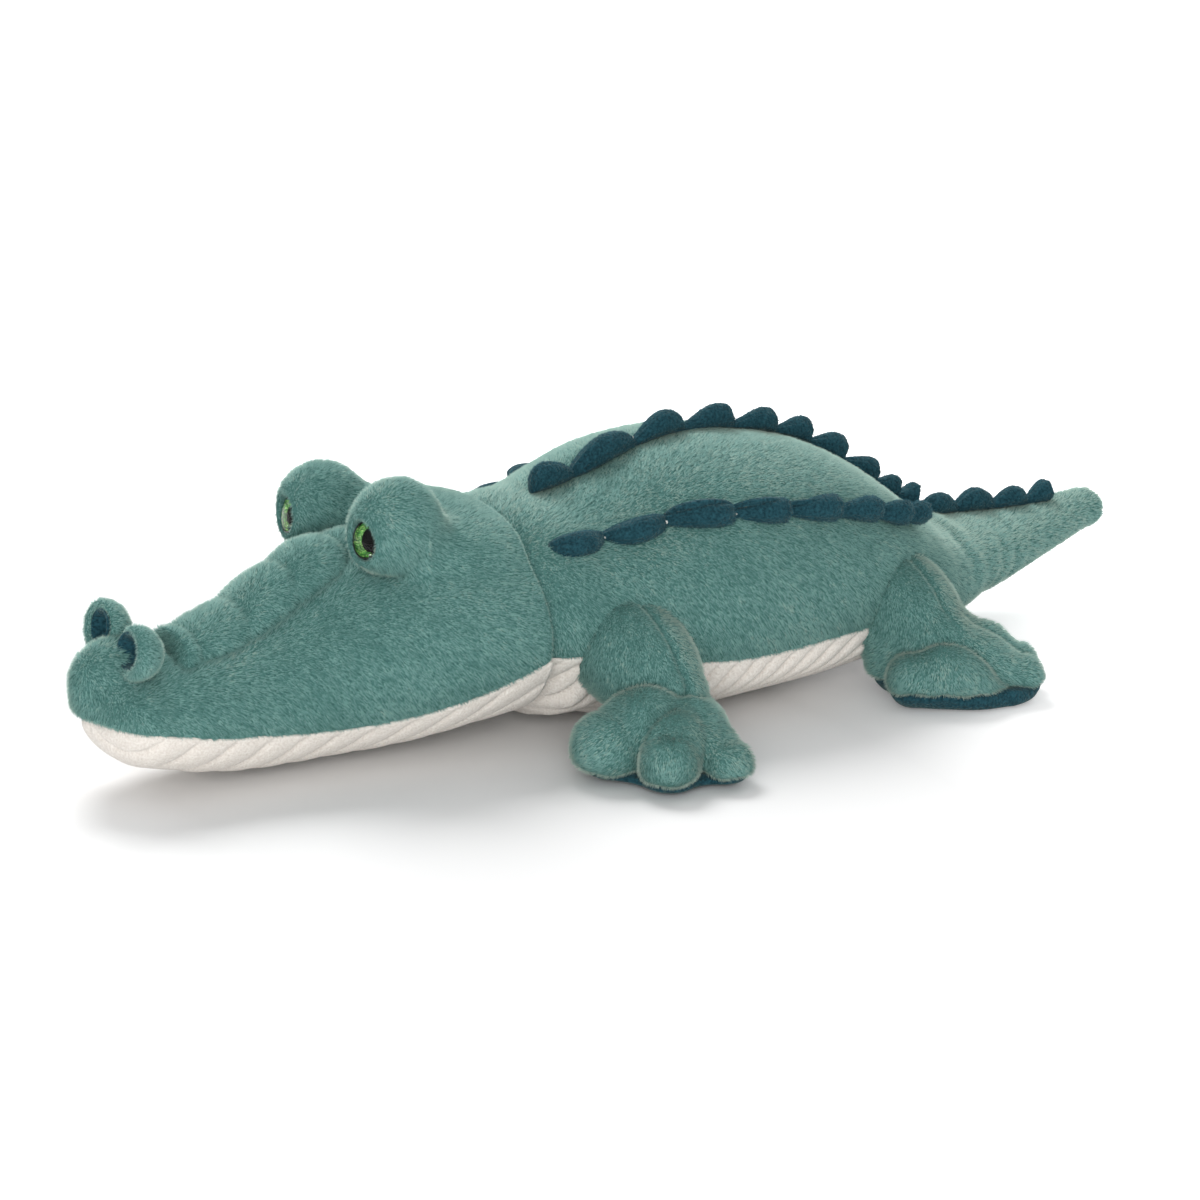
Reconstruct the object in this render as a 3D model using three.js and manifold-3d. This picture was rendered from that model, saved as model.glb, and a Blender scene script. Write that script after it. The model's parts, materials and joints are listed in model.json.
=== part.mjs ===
// Plush crocodile, in millimetres. It faces -Y, its left side is +X and it stands on z = 0.
// The torso carries the head, the tail and the four legs, each on a sewn seam that bends.
import * as THREE from "three";
import { mergeVertices } from "three/addons/utils/BufferGeometryUtils.js";
import Module from "manifold-3d";

const wasm = await Module();
wasm.setup();

// Clearances that every seam and seat uses.
const seat_gap = 0.3;
const turning_gap = 0.5;
const overrun = 12;

// Torso: the neck and tail seams turn about upright axes at its two ends.
const torso_length = 212;
const torso_half_width = 79;
const torso_height = 106;
const belly_clearance = 2;
const neck_radius = 66;
const neck_half_height = 41;
const neck_height = 51;
const neck_swing_degrees = 12;
const tail_root_radius = 40;
const tail_root_half_height = 23;
const tail_root_height = 32;
const tail_root_inset = 8;
const tail_swing_degrees = 15;
const panel_thickness = 7;

// Head, measured from the neck axis to the last section before the rounded nose.
const head_length = 188;
const head_half_width = 64;
const head_height = 96;
const chin_clearance = 1.2;
const rim_lap = 30;
const nose_length = 22;

// Brow mounds that hold the eyes.
const brow_half_width = 18;
const brow_half_length = 25;
const brow_half_height = 20;
const brow_spacing = 58;
const brow_reach = 80;
const brow_height = 97;

// Safety eyes: a clear dome over a back with a shank, held by a lock washer inside the brow.
const eye_radius = 7.5;
const eye_dome_height = 4.2;
const eye_back_thickness = 1.6;
const eye_rim = 0.5;
const eye_outward_degrees = 14;
const eye_depth_share = 0.82;
const shank_radius = 1.7;
const shank_length = 11;
const washer_radius = 5.2;
const washer_thickness = 1.4;
const washer_setback = 7;

// Nostril loops with a dark lining.
const nostril_half_width = 9;
const nostril_half_length = 10;
const nostril_half_height = 12;
const nostril_spacing = 30;
const nostril_reach = 191;
const nostril_lift = 8;
const nostril_wall = 3.2;
const nostril_opening_shift = 5;
const lining_thickness = 1.6;

// Gathered strip along the top of the snout.
const bridge_half_width = 23;
const bridge_bump_height = 9;
const bridge_bump_depth = 12;
const bridge_bump_overlap_share = 0.66;

// Tail, measured from its seam axis to the last section before the rounded tip.
const tail_length = 112;
const tail_tip_length = 9;
const tail_tip_height = 40;

// Gathered ridges: three on the back and one on the tail.
const ridge_half_thickness = 5;
const ridge_bump_height = 11;
const ridge_sink = 3;
const ridge_bump_overlap_share = 0.58;
const tail_ridge_bump_height = 9;

// Legs: a stuffed tube from the torso's side to the paw.
const front_leg_radius = 24;
const front_hip_height = 41;
const front_leg_reach = 48;
const rear_leg_radius = 25;
const rear_hip_height = 36;
const rear_leg_reach = 38;
const hip_inset = 20;
const leg_swing_degrees = 12;

// Paws: a palm and three toes over a flat sole.
const palm_half_width = 23;
const palm_length = 34;
const paw_height = 33;
const toe_half_width = 14;
const toe_length = 33;
const toe_height = 27;
const toe_spread_degrees = 46;
const front_paw_turn_degrees = 50;
const rear_paw_turn_degrees = 112;
const sole_thickness = 7;
const sole_cut = 1.5;
const paw_squareness = 2.2;

// Stations are evenly spaced along each form. A row is half width, top and bottom, as shares of the
// form's own half width and height, and the squareness of the section.
const torso_station_shares = [
  [0.95, 0.915, 0.012, 2.1],
  [1, 0.98, 0, 2.2],
  [1, 1, 0, 2.2],
  [0.975, 0.98, 0, 2.2],
  [0.925, 0.925, 0, 2.2],
  [0.84, 0.815, 0.01, 2.2],
  [0.71, 0.655, 0.03, 2.1],
  [0.565, 0.5, 0.055, 2],
];
const head_station_shares = [
  [1, 0.96, 0.045, 2],
  [1, 1, 0.03, 2],
  [0.95, 0.985, 0.01, 2.05],
  [0.85, 0.93, 0, 2.1],
  [0.74, 0.84, 0, 2.1],
  [0.65, 0.74, 0, 2.1],
  [0.58, 0.65, 0.01, 2.1],
  [0.55, 0.6, 0.045, 2.1],
  [0.51, 0.56, 0.1, 2.2],
];
const tail_station_shares = [
  [0.93, 0.9],
  [0.76, 0.78],
  [0.6, 0.66],
  [0.44, 0.54],
  [0.3, 0.44],
];

// Heights of the seam between the plush and the white underside, as shares of the torso's or the
// head's height, evenly spaced from front to back.
const belly_seam_shares = [0.354, 0.302, 0.264, 0.247, 0.245, 0.25, 0.25, 0.24, 0.22];
const mouth_seam_shares = [0.42, 0.31, 0.235, 0.2, 0.19, 0.2, 0.24, 0.31, 0.39];

// Ends of the ridge bumps along the torso, or along the tail, as shares of its length.
const centre_ridge_shares = [0, 0.1, 0.25, 0.37, 0.49, 0.6, 0.69, 0.78, 0.87, 0.93, 0.975];
const tail_ridge_shares = [0.1, 0.28, 0.48, 0.66, 0.8];

// The side ridge wanders over the torso: each bump's end has its share of the torso's length, and how
// far round it lies from the torso's widest line to its top, as a share of that quarter turn.
const side_ridge_shares = [
  [-0.08, 0.511],
  [0, 0.5],
  [0.13, 0.478],
  [0.28, 0.433],
  [0.41, 0.4],
  [0.53, 0.378],
  [0.63, 0.367],
  [0.7, 0.367],
  [0.76, 0.378],
];
const ridge_top_share = 1;

const bridge_bump_shares = [0.875, 0.787, 0.652, 0.5];
const front_hip_share = 0.03;
const rear_hip_share = 0.705;

const leg_station_shares = [1, 1.02, 1.02, 0.94];
const toe_station_shares = [0.72, 0.86, 0.97, 1];
const palm_station_shares = [0.85, 1, 0.98, 0.8];

// Colours, roughness and metalness of the materials.
const plush = { color: 0x5a8a85, roughness: 0.95, metalness: 0 };
const dark_plush = { color: 0x234b55, roughness: 0.95, metalness: 0 };
const ribbed_plush = { color: 0xe1dad2, roughness: 0.9, metalness: 0 };
const clear_plastic = { color: 0x3c8c32, roughness: 0.08, metalness: 0 };
const black_plastic = { color: 0x101010, roughness: 0.3, metalness: 0 };
const white_plastic = { color: 0xd8d8d4, roughness: 0.5, metalness: 0 };

const X = new THREE.Vector3(1, 0, 0);
const Y = new THREE.Vector3(0, 1, 0);
const Z = new THREE.Vector3(0, 0, 1);
const neck_axis = new THREE.Vector3(0, 0, neck_height);
const tail_axis = new THREE.Vector3(0, torso_length - tail_root_inset, tail_root_height);

function solidOf(geometry) {
  const bare = new THREE.BufferGeometry();
  bare.setAttribute("position", geometry.getAttribute("position"));
  bare.setIndex(geometry.index);
  const merged = mergeVertices(bare);
  return new wasm.Manifold(
    new wasm.Mesh({
      numProp: 3,
      vertProperties: merged.getAttribute("position").array,
      triVerts: new Uint32Array(merged.index.array),
    }),
  );
}

function geometryOf(solid) {
  const mesh = solid.getMesh();
  const geometry = new THREE.BufferGeometry();
  geometry.setAttribute("position", new THREE.BufferAttribute(mesh.vertProperties, 3));
  geometry.setIndex(new THREE.BufferAttribute(mesh.triVerts, 1));
  geometry.computeVertexNormals();
  return geometry;
}

function moved(solid, matrix) {
  const geometry = geometryOf(solid);
  geometry.applyMatrix4(matrix);
  return solidOf(geometry);
}

function turned(solid, pivot, axis, degrees) {
  const there = new THREE.Matrix4().makeTranslation(pivot.x, pivot.y, pivot.z);
  const back = new THREE.Matrix4().makeTranslation(-pivot.x, -pivot.y, -pivot.z);
  const turn = new THREE.Matrix4().makeRotationAxis(axis, THREE.MathUtils.degToRad(degrees));
  return moved(solid, there.multiply(turn).multiply(back));
}

function mirrored(solid) {
  const geometry = geometryOf(solid);
  geometry.applyMatrix4(new THREE.Matrix4().makeScale(-1, 1, 1));
  const index = geometry.index.array;
  for (let i = 0; i < index.length; i += 3) {
    [index[i + 1], index[i + 2]] = [index[i + 2], index[i + 1]];
  }
  return solidOf(geometry);
}

function joined(solids) {
  return solids.reduce((all, solid) => all.add(solid));
}

// Row of a table at a share of its length, on a Catmull-Rom curve through the rows.
function rowAt(table, share) {
  const place = THREE.MathUtils.clamp(share, 0, 1) * (table.length - 1);
  const from = Math.min(Math.floor(place), table.length - 2);
  const t = place - from;
  const row = (i) => table[THREE.MathUtils.clamp(i, 0, table.length - 1)];
  return table[from].map((_, column) => {
    const [a, b, c, d] = [-1, 0, 1, 2].map((step) => row(from + step)[column]);
    const slope = (c - a) / 2;
    const next = (d - b) / 2;
    const bend = 2 * (b - c) + slope + next;
    const lift = 3 * (c - b) - 2 * slope - next;
    return ((bend * t + lift) * t + slope) * t + b;
  });
}

// A section is a closed rounded outline; its upper and lower halves have their own heights.
function sectionPoint(section, angle, grow) {
  const cos = Math.cos(angle);
  const sin = Math.sin(angle);
  const power = 2 / section.squareness;
  const height = sin > 0 ? section.top : section.bottom;
  return section.centre
    .clone()
    .addScaledVector(section.across, (section.half_width + grow) * Math.sign(cos) * Math.abs(cos) ** power)
    .addScaledVector(section.up, (height + grow) * Math.sign(sin) * Math.abs(sin) ** power);
}

// Closed skin through rings of equal count, from one tip to the other.
function skinOf(rings, first_tip, last_tip) {
  const sides = rings[0].length;
  const points = [first_tip, ...rings.flat(), last_tip];
  const last = points.length - 1;
  const index = [];
  for (let i = 0; i < sides; i += 1) {
    const next = (i + 1) % sides;
    index.push(0, 1 + next, 1 + i);
    index.push(last, last - sides + i, last - sides + next);
    for (let r = 0; r < rings.length - 1; r += 1) {
      const low = 1 + r * sides;
      const high = low + sides;
      index.push(low + i, low + next, high + i);
      index.push(low + next, high + next, high + i);
    }
  }
  const ahead = new THREE.Vector3().subVectors(last_tip, first_tip);
  const start = rings[Math.floor(rings.length / 2)];
  const across = new THREE.Vector3().subVectors(start[0], start[Math.floor(sides / 2)]);
  const upward = new THREE.Vector3().subVectors(
    start[Math.floor(sides / 4)],
    start[Math.floor((3 * sides) / 4)],
  );
  const spin = across.cross(upward);
  if (spin.dot(ahead) < 0) {
    index.reverse();
  }
  const geometry = new THREE.BufferGeometry();
  geometry.setAttribute(
    "position",
    new THREE.Float32BufferAttribute(points.flatMap((point) => point.toArray()), 3),
  );
  geometry.setIndex(index);
  return geometry;
}

// A stuffed form: sections along a line, with a rounded end of its own length at each side.
function stuffedForm(form, grow = 0) {
  const rings = [];
  const ringOf = (section, scale, shift) =>
    Array.from({ length: form.sides }, (_, i) =>
      sectionPoint(section, (2 * Math.PI * i) / form.sides, grow)
        .sub(section.centre)
        .multiplyScalar(scale)
        .add(section.centre)
        .addScaledVector(section.ahead, shift),
    );
  const roundedEnd = (section, length, sign) =>
    Array.from({ length: form.end_rings }, (_, i) => {
      const angle = ((i + 1) / (form.end_rings + 1)) * (Math.PI / 2);
      return ringOf(section, Math.cos(angle), sign * (length + grow) * Math.sin(angle));
    });
  for (let r = 0; r <= form.rings; r += 1) {
    rings.push(ringOf(form.sectionAt(r / form.rings), 1, 0));
  }
  const first = form.sectionAt(0);
  const last = form.sectionAt(1);
  const first_tip = first.centre.clone().addScaledVector(first.ahead, -form.first_end - grow);
  const last_tip = last.centre.clone().addScaledVector(last.ahead, form.last_end + grow);
  return solidOf(
    skinOf(
      [
        ...roundedEnd(first, form.first_end, -1).reverse(),
        ...rings,
        ...roundedEnd(last, form.last_end, 1),
      ],
      first_tip,
      last_tip,
    ),
  );
}

function ellipsoid(centre, half_sizes, sides = 10) {
  const geometry = new THREE.SphereGeometry(1, sides, Math.round((sides * 2) / 3));
  geometry.scale(...half_sizes);
  geometry.translate(centre.x, centre.y, centre.z);
  return solidOf(geometry);
}

// Round seat about an upright axis: its facets lie outside the turning radius all the way round.
const seat_sides = 24;
function turningSeat(axis, radius, half_height) {
  const outside = 1 / Math.cos(Math.PI / seat_sides);
  const across = (radius + turning_gap) * outside;
  return ellipsoid(axis, [across, across, (half_height + turning_gap) * outside], seat_sides);
}

function blockBetween(low, high) {
  const size = new THREE.Vector3().subVectors(high, low);
  const geometry = new THREE.BoxGeometry(size.x, size.y, size.z);
  const middle = new THREE.Vector3().addVectors(low, high).multiplyScalar(0.5);
  geometry.translate(middle.x, middle.y, middle.z);
  return solidOf(geometry);
}

// Everything below a seam that runs along Y: a smooth line through evenly spaced heights.
function belowSeam(start_y, end_y, heights, half_width) {
  const curve = new THREE.SplineCurve(
    heights.map((height, i) =>
      new THREE.Vector2(start_y + ((end_y - start_y) * i) / (heights.length - 1), height)),
  );
  const line = curve.getPoints(2 * heights.length);
  const forward = Math.sign(end_y - start_y);
  const low = -Math.max(...heights);
  const shape = new THREE.Shape([
    new THREE.Vector2(start_y - forward * torso_length, low),
    new THREE.Vector2(start_y - forward * torso_length, heights[0]),
    ...line,
    new THREE.Vector2(end_y + forward * torso_length, heights[heights.length - 1]),
    new THREE.Vector2(end_y + forward * torso_length, low),
  ]);
  const geometry = new THREE.ExtrudeGeometry(shape, { depth: 2 * half_width, bevelEnabled: false });
  geometry.applyMatrix4(new THREE.Matrix4().makeBasis(Y, Z, X));
  geometry.translate(-half_width, 0, 0);
  return solidOf(geometry);
}

function lift(heights, amount) {
  return heights.map((height) => height + amount);
}

// A section that stands across the Y axis, from a row of half width, top, bottom and squareness.
function uprightSection(y, ahead, [half_width, top, bottom, squareness], waist_share) {
  const waist = bottom + (top - bottom) * waist_share;
  return {
    centre: new THREE.Vector3(0, y, waist),
    across: X,
    up: Z,
    ahead,
    half_width,
    top: top - waist,
    bottom: waist - bottom,
    squareness,
  };
}

const waist_share = 0.46;
const torso_rows = [
  [neck_radius, neck_height + neck_half_height, neck_height - neck_half_height, 2],
  ...torso_station_shares.map(([width, top, bottom, squareness]) => [
    width * torso_half_width,
    belly_clearance + top * torso_height,
    belly_clearance + bottom * torso_height,
    squareness,
  ]),
];
const round_waist_share = 0.5;
const torso_form = {
  length: torso_length,
  sides: 20,
  rings: 10,
  end_rings: 4,
  first_end: neck_radius,
  last_end: 0,
  sectionAt: (share) =>
    uprightSection(
      share * torso_length,
      Y,
      rowAt(torso_rows, share),
      THREE.MathUtils.lerp(round_waist_share, waist_share, Math.min(1, share * torso_rows.length)),
    ),
};
const torso_whole = stuffedForm(torso_form);

const head_rows = head_station_shares.map(([width, top, bottom, squareness]) => [
  width * head_half_width,
  chin_clearance + top * head_height,
  chin_clearance + bottom * head_height,
  squareness,
]);
const head_form = {
  sides: 20,
  rings: 10,
  end_rings: 3,
  first_end: 0,
  last_end: nose_length,
  sectionAt: (share) =>
    uprightSection(
      -THREE.MathUtils.lerp(rim_lap, head_length, share),
      Y.clone().negate(),
      rowAt(head_rows, share),
      round_waist_share,
    ),
};
const head_whole = stuffedForm(head_form);
const head_grown = stuffedForm(head_form, seat_gap);

const tail_rows = [
  [tail_root_radius, tail_root_height, tail_root_half_height, 2],
  ...tail_station_shares.map(([width, height], i) => [
    width * tail_root_radius,
    THREE.MathUtils.lerp(
      tail_root_height,
      tail_tip_height,
      ((i + 1) / tail_station_shares.length) ** 2,
    ),
    height * tail_root_half_height,
    2,
  ]),
];
const tail_form = {
  length: tail_length,
  sides: 14,
  rings: 7,
  end_rings: 3,
  first_end: tail_root_radius,
  last_end: tail_tip_length,
  sectionAt: (share) => {
    const [half_width, middle, half_height, squareness] = rowAt(tail_rows, share);
    return uprightSection(
      tail_axis.y + share * tail_length,
      Y,
      [half_width, middle + half_height, middle - half_height, squareness],
      round_waist_share,
    );
  },
};
const tail = stuffedForm(tail_form);

// White underside: the outer layer of the torso and of the head below their seams.
function splitUnderside(form, whole, start_y, end_y, heights) {
  const reach = 2 * torso_half_width;
  const core_form = { ...form, sides: 12, rings: 6, end_rings: 3 };
  const core = stuffedForm(core_form, -panel_thickness);
  const under = whole
    .intersect(belowSeam(start_y, end_y, heights, reach))
    .subtract(core);
  const upper = whole
    .subtract(belowSeam(start_y, end_y, lift(heights, seat_gap), reach))
    .add(stuffedForm(core_form, -panel_thickness - seat_gap));
  return { under, upper };
}

const belly_seam = belly_seam_shares.map((share) => belly_clearance + share * torso_height);
const mouth_seam = mouth_seam_shares.map((share) => chin_clearance + share * head_height);
const torso_parts = splitUnderside(torso_form, torso_whole, 0, torso_length, belly_seam);
const head_parts = splitUnderside(
  head_form,
  head_whole,
  -head_length - nose_length,
  -rim_lap,
  mouth_seam,
);

const neck_seat = turningSeat(neck_axis, neck_radius, neck_half_height);
const tail_seat = turningSeat(tail_axis, tail_root_radius, tail_root_half_height);

// A cut can leave crumbs beside a piece; the piece is the largest of them.
function mainBody(solid) {
  const bodies = solid.decompose();
  return bodies.reduce((best, body) => (body.volume() > best.volume() ? body : best));
}

// Everything that the head or the tail passes through as it turns.
const swing_shares = [-1, 0, 1];
const head_path = joined(
  swing_shares.map((share) =>
    turned(stuffedForm(head_form, turning_gap), neck_axis, Z, share * neck_swing_degrees)),
);

const tail_path = joined(
  swing_shares.map((share) =>
    turned(stuffedForm(tail_form, turning_gap), tail_axis, Z, share * tail_swing_degrees)),
).add(tail_seat);
const torso = torso_parts.upper.subtract(tail_path);
const belly_panel = mainBody(torso_parts.under.subtract(tail_path));
const head_skin = head_parts.upper.subtract(neck_seat);
const chin_panel = mainBody(head_parts.under.subtract(neck_seat));

// Brow mound with the stepped bore that takes the eye's shank and its lock washer.
const brow_place = new THREE.Vector3(brow_spacing / 2, -brow_reach, brow_height);
const eye_turn = THREE.MathUtils.degToRad(eye_outward_degrees);
const eye_ahead = new THREE.Vector3(Math.sin(eye_turn), -Math.cos(eye_turn), 0);
const eye_place = brow_place
  .clone()
  .addScaledVector(eye_ahead, brow_half_length * eye_depth_share);

// Turned piece on the eye's own line: the profile runs from the eye's face inward.
function onEyeLine(profile) {
  const geometry = new THREE.LatheGeometry(
    profile.map(([radius, along]) => new THREE.Vector2(radius, along)),
    12,
  );
  const side = new THREE.Vector3().crossVectors(eye_ahead, Z);
  geometry.applyMatrix4(new THREE.Matrix4().makeBasis(Z, eye_ahead, side.negate()));
  geometry.translate(eye_place.x, eye_place.y, eye_place.z);
  const solid = solidOf(geometry);
  return solid.volume() < 0 ? solidOf(flipped(geometry)) : solid;
}

function flipped(geometry) {
  const copy = geometry.clone();
  copy.index.array.reverse();
  return copy;
}

function roundBar(radius, from, to) {
  return onEyeLine([
    [0, from],
    [radius, from],
    [radius, to],
    [0, to],
  ]);
}

const dome_steps = 4;
const eye_dome = onEyeLine([
  [0, seat_gap],
  [eye_radius, seat_gap],
  ...Array.from({ length: dome_steps }, (_, i) => {
    const angle = ((i + 1) / (dome_steps + 1)) * (Math.PI / 2);
    return [eye_radius * Math.cos(angle), seat_gap + eye_dome_height * Math.sin(angle)];
  }),
  [0, seat_gap + eye_dome_height],
]);
const eye_back = onEyeLine([
  [0, -eye_back_thickness - shank_length],
  [shank_radius, -eye_back_thickness - shank_length],
  [shank_radius, -eye_back_thickness],
  [eye_radius + eye_rim, -eye_back_thickness],
  [eye_radius + eye_rim, 0],
  [0, 0],
]);
const washer_from = -eye_back_thickness - washer_setback - washer_thickness;
const washer_to = -eye_back_thickness - washer_setback;
const eye_washer = onEyeLine([
  [shank_radius + seat_gap, washer_from],
  [washer_radius, washer_from],
  [washer_radius, washer_to],
  [shank_radius + seat_gap, washer_to],
  [shank_radius + seat_gap, washer_from],
]);
const eye_pocket = joined([
  roundBar(eye_radius + eye_rim + seat_gap, -eye_back_thickness - seat_gap, overrun),
  roundBar(
    shank_radius + seat_gap,
    -eye_back_thickness - shank_length - seat_gap,
    0,
  ),
  roundBar(washer_radius + seat_gap, washer_from - seat_gap, washer_to + seat_gap),
]);
const brow_sizes = [brow_half_width, brow_half_length, brow_half_height];
const brow = ellipsoid(brow_place, brow_sizes, 14).subtract(eye_pocket);

// Nostril: a loop that stands on the snout and opens forward, with a dark lining in it.
const snout_section = head_form.sectionAt((nostril_reach - rim_lap) / (head_length - rim_lap));
const snout_top = snout_section.centre.z + snout_section.top;
const nostril_place = new THREE.Vector3(
  nostril_spacing / 2,
  -nostril_reach,
  snout_top + nostril_lift,
);
const nostril_sizes = [nostril_half_width, nostril_half_length, nostril_half_height];
const opening_place = nostril_place.clone().addScaledVector(Y, -nostril_opening_shift);
const shrunk = (sizes, by) => sizes.map((size) => size - by);
const nostril = ellipsoid(nostril_place, nostril_sizes)
  .subtract(ellipsoid(opening_place, shrunk(nostril_sizes, nostril_wall)));
const lining_sizes = shrunk(nostril_sizes, nostril_wall + seat_gap);
const lining_front = blockBetween(
  new THREE.Vector3(-nostril_spacing, -nostril_reach - torso_length, 0),
  new THREE.Vector3(
    2 * nostril_spacing,
    -nostril_reach - nostril_opening_shift,
    2 * torso_height,
  ),
);
const nostril_lining = ellipsoid(opening_place, lining_sizes)
  .subtract(lining_front)
  .subtract(ellipsoid(opening_place, shrunk(lining_sizes, lining_thickness)));

// Snout bridge: a row of gathered bumps from behind the nostrils to between the brows.
const brow_clear = ellipsoid(brow_place, shrunk(brow_sizes, -seat_gap), 14);
const snout_bridge = joined(
  bridge_bump_shares.map((share, i) => {
    const section = head_form.sectionAt(share);
    const near = bridge_bump_shares[i + 1] ?? share - (bridge_bump_shares[i - 1] - share);
    const length = Math.abs(share - near) * (head_length - rim_lap);
    const top = section.centre.z + section.top;
    return ellipsoid(
      new THREE.Vector3(0, section.centre.y, top + bridge_bump_height - bridge_bump_depth),
      [bridge_half_width, length * bridge_bump_overlap_share, bridge_bump_depth],
    );
  }),
)
  .subtract(head_grown)
  .subtract(brow_clear)
  .subtract(mirrored(brow_clear));

// Row of gathered bumps over a stuffed form, each standing square to it. The line gives the ends of
// the bumps: a share of the form's length, and a share of the quarter turn around its section.
function ridgeOn(form, line, bump_height) {
  const pointAt = ([share, round_share]) => {
    const section = form.sectionAt(share);
    const angle = (round_share * Math.PI) / 2;
    const before = Math.max(-share, 0) * form.length;
    const place = sectionPoint(section, angle, 0)
      .sub(section.centre)
      .multiplyScalar(Math.sqrt(1 - (before / form.first_end) ** 2))
      .add(section.centre)
      .addScaledVector(section.ahead, -before);
    const out = new THREE.Vector3(Math.cos(angle) * section.top, 0, Math.sin(angle) * section.half_width);
    return { place, out };
  };
  const half_height = (bump_height + ridge_sink) / 2;
  return joined(
    line.slice(1).map((end, i) => {
      const start = line[i];
      const ahead = pointAt(end).place.sub(pointAt(start).place);
      const { place, out } = pointAt(end.map((value, column) => (value + start[column]) / 2));
      const along = ahead.clone().normalize();
      out.addScaledVector(along, -out.dot(along)).normalize();
      const across = new THREE.Vector3().crossVectors(along, out);
      const geometry = new THREE.SphereGeometry(1, 8, 4);
      geometry.scale(ridge_half_thickness, ahead.length() * ridge_bump_overlap_share, half_height);
      geometry.applyMatrix4(new THREE.Matrix4().makeBasis(across, along, out));
      place.addScaledVector(out, half_height - ridge_sink);
      geometry.translate(place.x, place.y, place.z);
      return solidOf(geometry);
    }),
  );
}

const torso_grown = stuffedForm(torso_form, seat_gap);
const side_ridge_clear = torso_grown.add(head_path);
const centre_ridge = ridgeOn(
  torso_form,
  centre_ridge_shares.map((share) => [share, ridge_top_share]),
  ridge_bump_height,
).subtract(torso_grown);
const side_ridge = ridgeOn(torso_form, side_ridge_shares, ridge_bump_height);
const tail_ridge = ridgeOn(
  tail_form,
  tail_ridge_shares.map((share) => [share, ridge_top_share]),
  tail_ridge_bump_height,
).subtract(stuffedForm(tail_form, seat_gap));

// Legs and paws. Each leg swings about a line across the toy, through its hip.
function headingOf(turn_degrees) {
  const turn = THREE.MathUtils.degToRad(turn_degrees);
  return new THREE.Vector3(Math.sin(turn), -Math.cos(turn), 0);
}

// A toe or a palm: a stuffed form that lies on the floor and points where it is turned to.
function pawForm(start, turn_degrees, length, half_width, height, station_shares) {
  const ahead = headingOf(turn_degrees);
  const rows = station_shares.map((share) => [share]);
  return {
    sides: 10,
    rings: 3,
    end_rings: 2,
    first_end: half_width * station_shares[0],
    last_end: half_width * station_shares[station_shares.length - 1],
    sectionAt: (share) => {
      const [swell] = rowAt(rows, share);
      const half_height = (height * swell + sole_cut) / 2;
      return {
        centre: start
          .clone()
          .addScaledVector(ahead, share * length)
          .setZ(half_height - sole_cut),
        across: new THREE.Vector3().crossVectors(ahead, Z),
        up: Z,
        ahead,
        half_width: half_width * swell,
        top: half_height,
        bottom: half_height,
        squareness: paw_squareness,
      };
    },
  };
}

function pawWhole(ankle, turn, grow = 0) {
  const heel = ankle.clone().addScaledVector(headingOf(turn), -palm_length / 2);
  const palm = pawForm(heel, turn, palm_length, palm_half_width, paw_height, palm_station_shares);
  const toes = [-1, 0, 1].map((side) => {
    const toe_turn = turn + side * toe_spread_degrees;
    return pawForm(ankle, toe_turn, toe_length, toe_half_width, toe_height, toe_station_shares);
  });
  return joined([palm, ...toes].map((form) => stuffedForm(form, grow)));
}

// Everything under a height, as far as the whole toy reaches.
function floorSlab(height) {
  const reach = 2 * torso_length;
  return blockBetween(
    new THREE.Vector3(-reach, -reach, -overrun),
    new THREE.Vector3(reach, reach, height),
  );
}

function legForm(hip, ankle, radius) {
  const spine = new THREE.QuadraticBezierCurve3(
    hip,
    new THREE.Vector3((hip.x + ankle.x) / 2, hip.y, hip.z),
    ankle,
  );
  const rows = leg_station_shares.map((share) => [share]);
  return {
    sides: 12,
    rings: 4,
    end_rings: 2,
    first_end: 0,
    last_end: radius / 2,
    sectionAt: (share) => {
      const [swell] = rowAt(rows, share);
      const ahead = spine.getTangent(share);
      return {
        centre: spine.getPoint(share),
        across: Y,
        up: new THREE.Vector3().crossVectors(ahead, Y),
        ahead,
        half_width: radius * swell,
        top: radius * swell,
        bottom: radius * swell,
        squareness: 2,
      };
    },
  };
}

function makeLeg({ hip_share, hip_height, radius, reach, paw_turn }) {
  const y = hip_share * torso_length;
  const side = torsoSide(hip_share, hip_height);
  const hip = new THREE.Vector3(side - hip_inset, y, hip_height);
  const ankle = new THREE.Vector3(side + reach - hip_inset, y, paw_height - radius / 2);
  const neighbours = stuffedForm(torso_form, turning_gap).add(head_path);
  const leg_path = joined(
    swing_shares.map((share) => turned(neighbours, hip, X, share * leg_swing_degrees)),
  );
  const above_sole = floorSlab(sole_thickness + seat_gap);
  const paw_whole = pawWhole(ankle, paw_turn);
  return {
    hip,
    leg: mainBody(
      stuffedForm(legForm(hip, ankle, radius))
        .subtract(leg_path)
        .subtract(pawWhole(ankle, paw_turn, seat_gap))
        .subtract(above_sole),
    ),
    paw: paw_whole.subtract(above_sole).subtract(leg_path),
    sole: paw_whole.intersect(floorSlab(sole_thickness)).subtract(floorSlab(0)),
  };
}

// Half width of the torso at a height above the floor.
function torsoSide(share, height) {
  const section = torso_form.sectionAt(share);
  const rise = height - section.centre.z;
  const half_height = rise > 0 ? section.top : section.bottom;
  const fill = 1 - (Math.abs(rise) / half_height) ** section.squareness;
  return section.half_width * fill ** (1 / section.squareness);
}

const front_leg = makeLeg({
  hip_share: front_hip_share,
  hip_height: front_hip_height,
  radius: front_leg_radius,
  reach: front_leg_reach,
  paw_turn: front_paw_turn_degrees,
});
const rear_leg = makeLeg({
  hip_share: rear_hip_share,
  hip_height: rear_hip_height,
  radius: rear_leg_radius,
  reach: rear_leg_reach,
  paw_turn: rear_paw_turn_degrees,
});

// Scene graph: one group for each body, placed on the axis that it turns about.
const group = new THREE.Group();
const toy = new THREE.Group();
toy.name = "toy";
group.add(toy);

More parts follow.
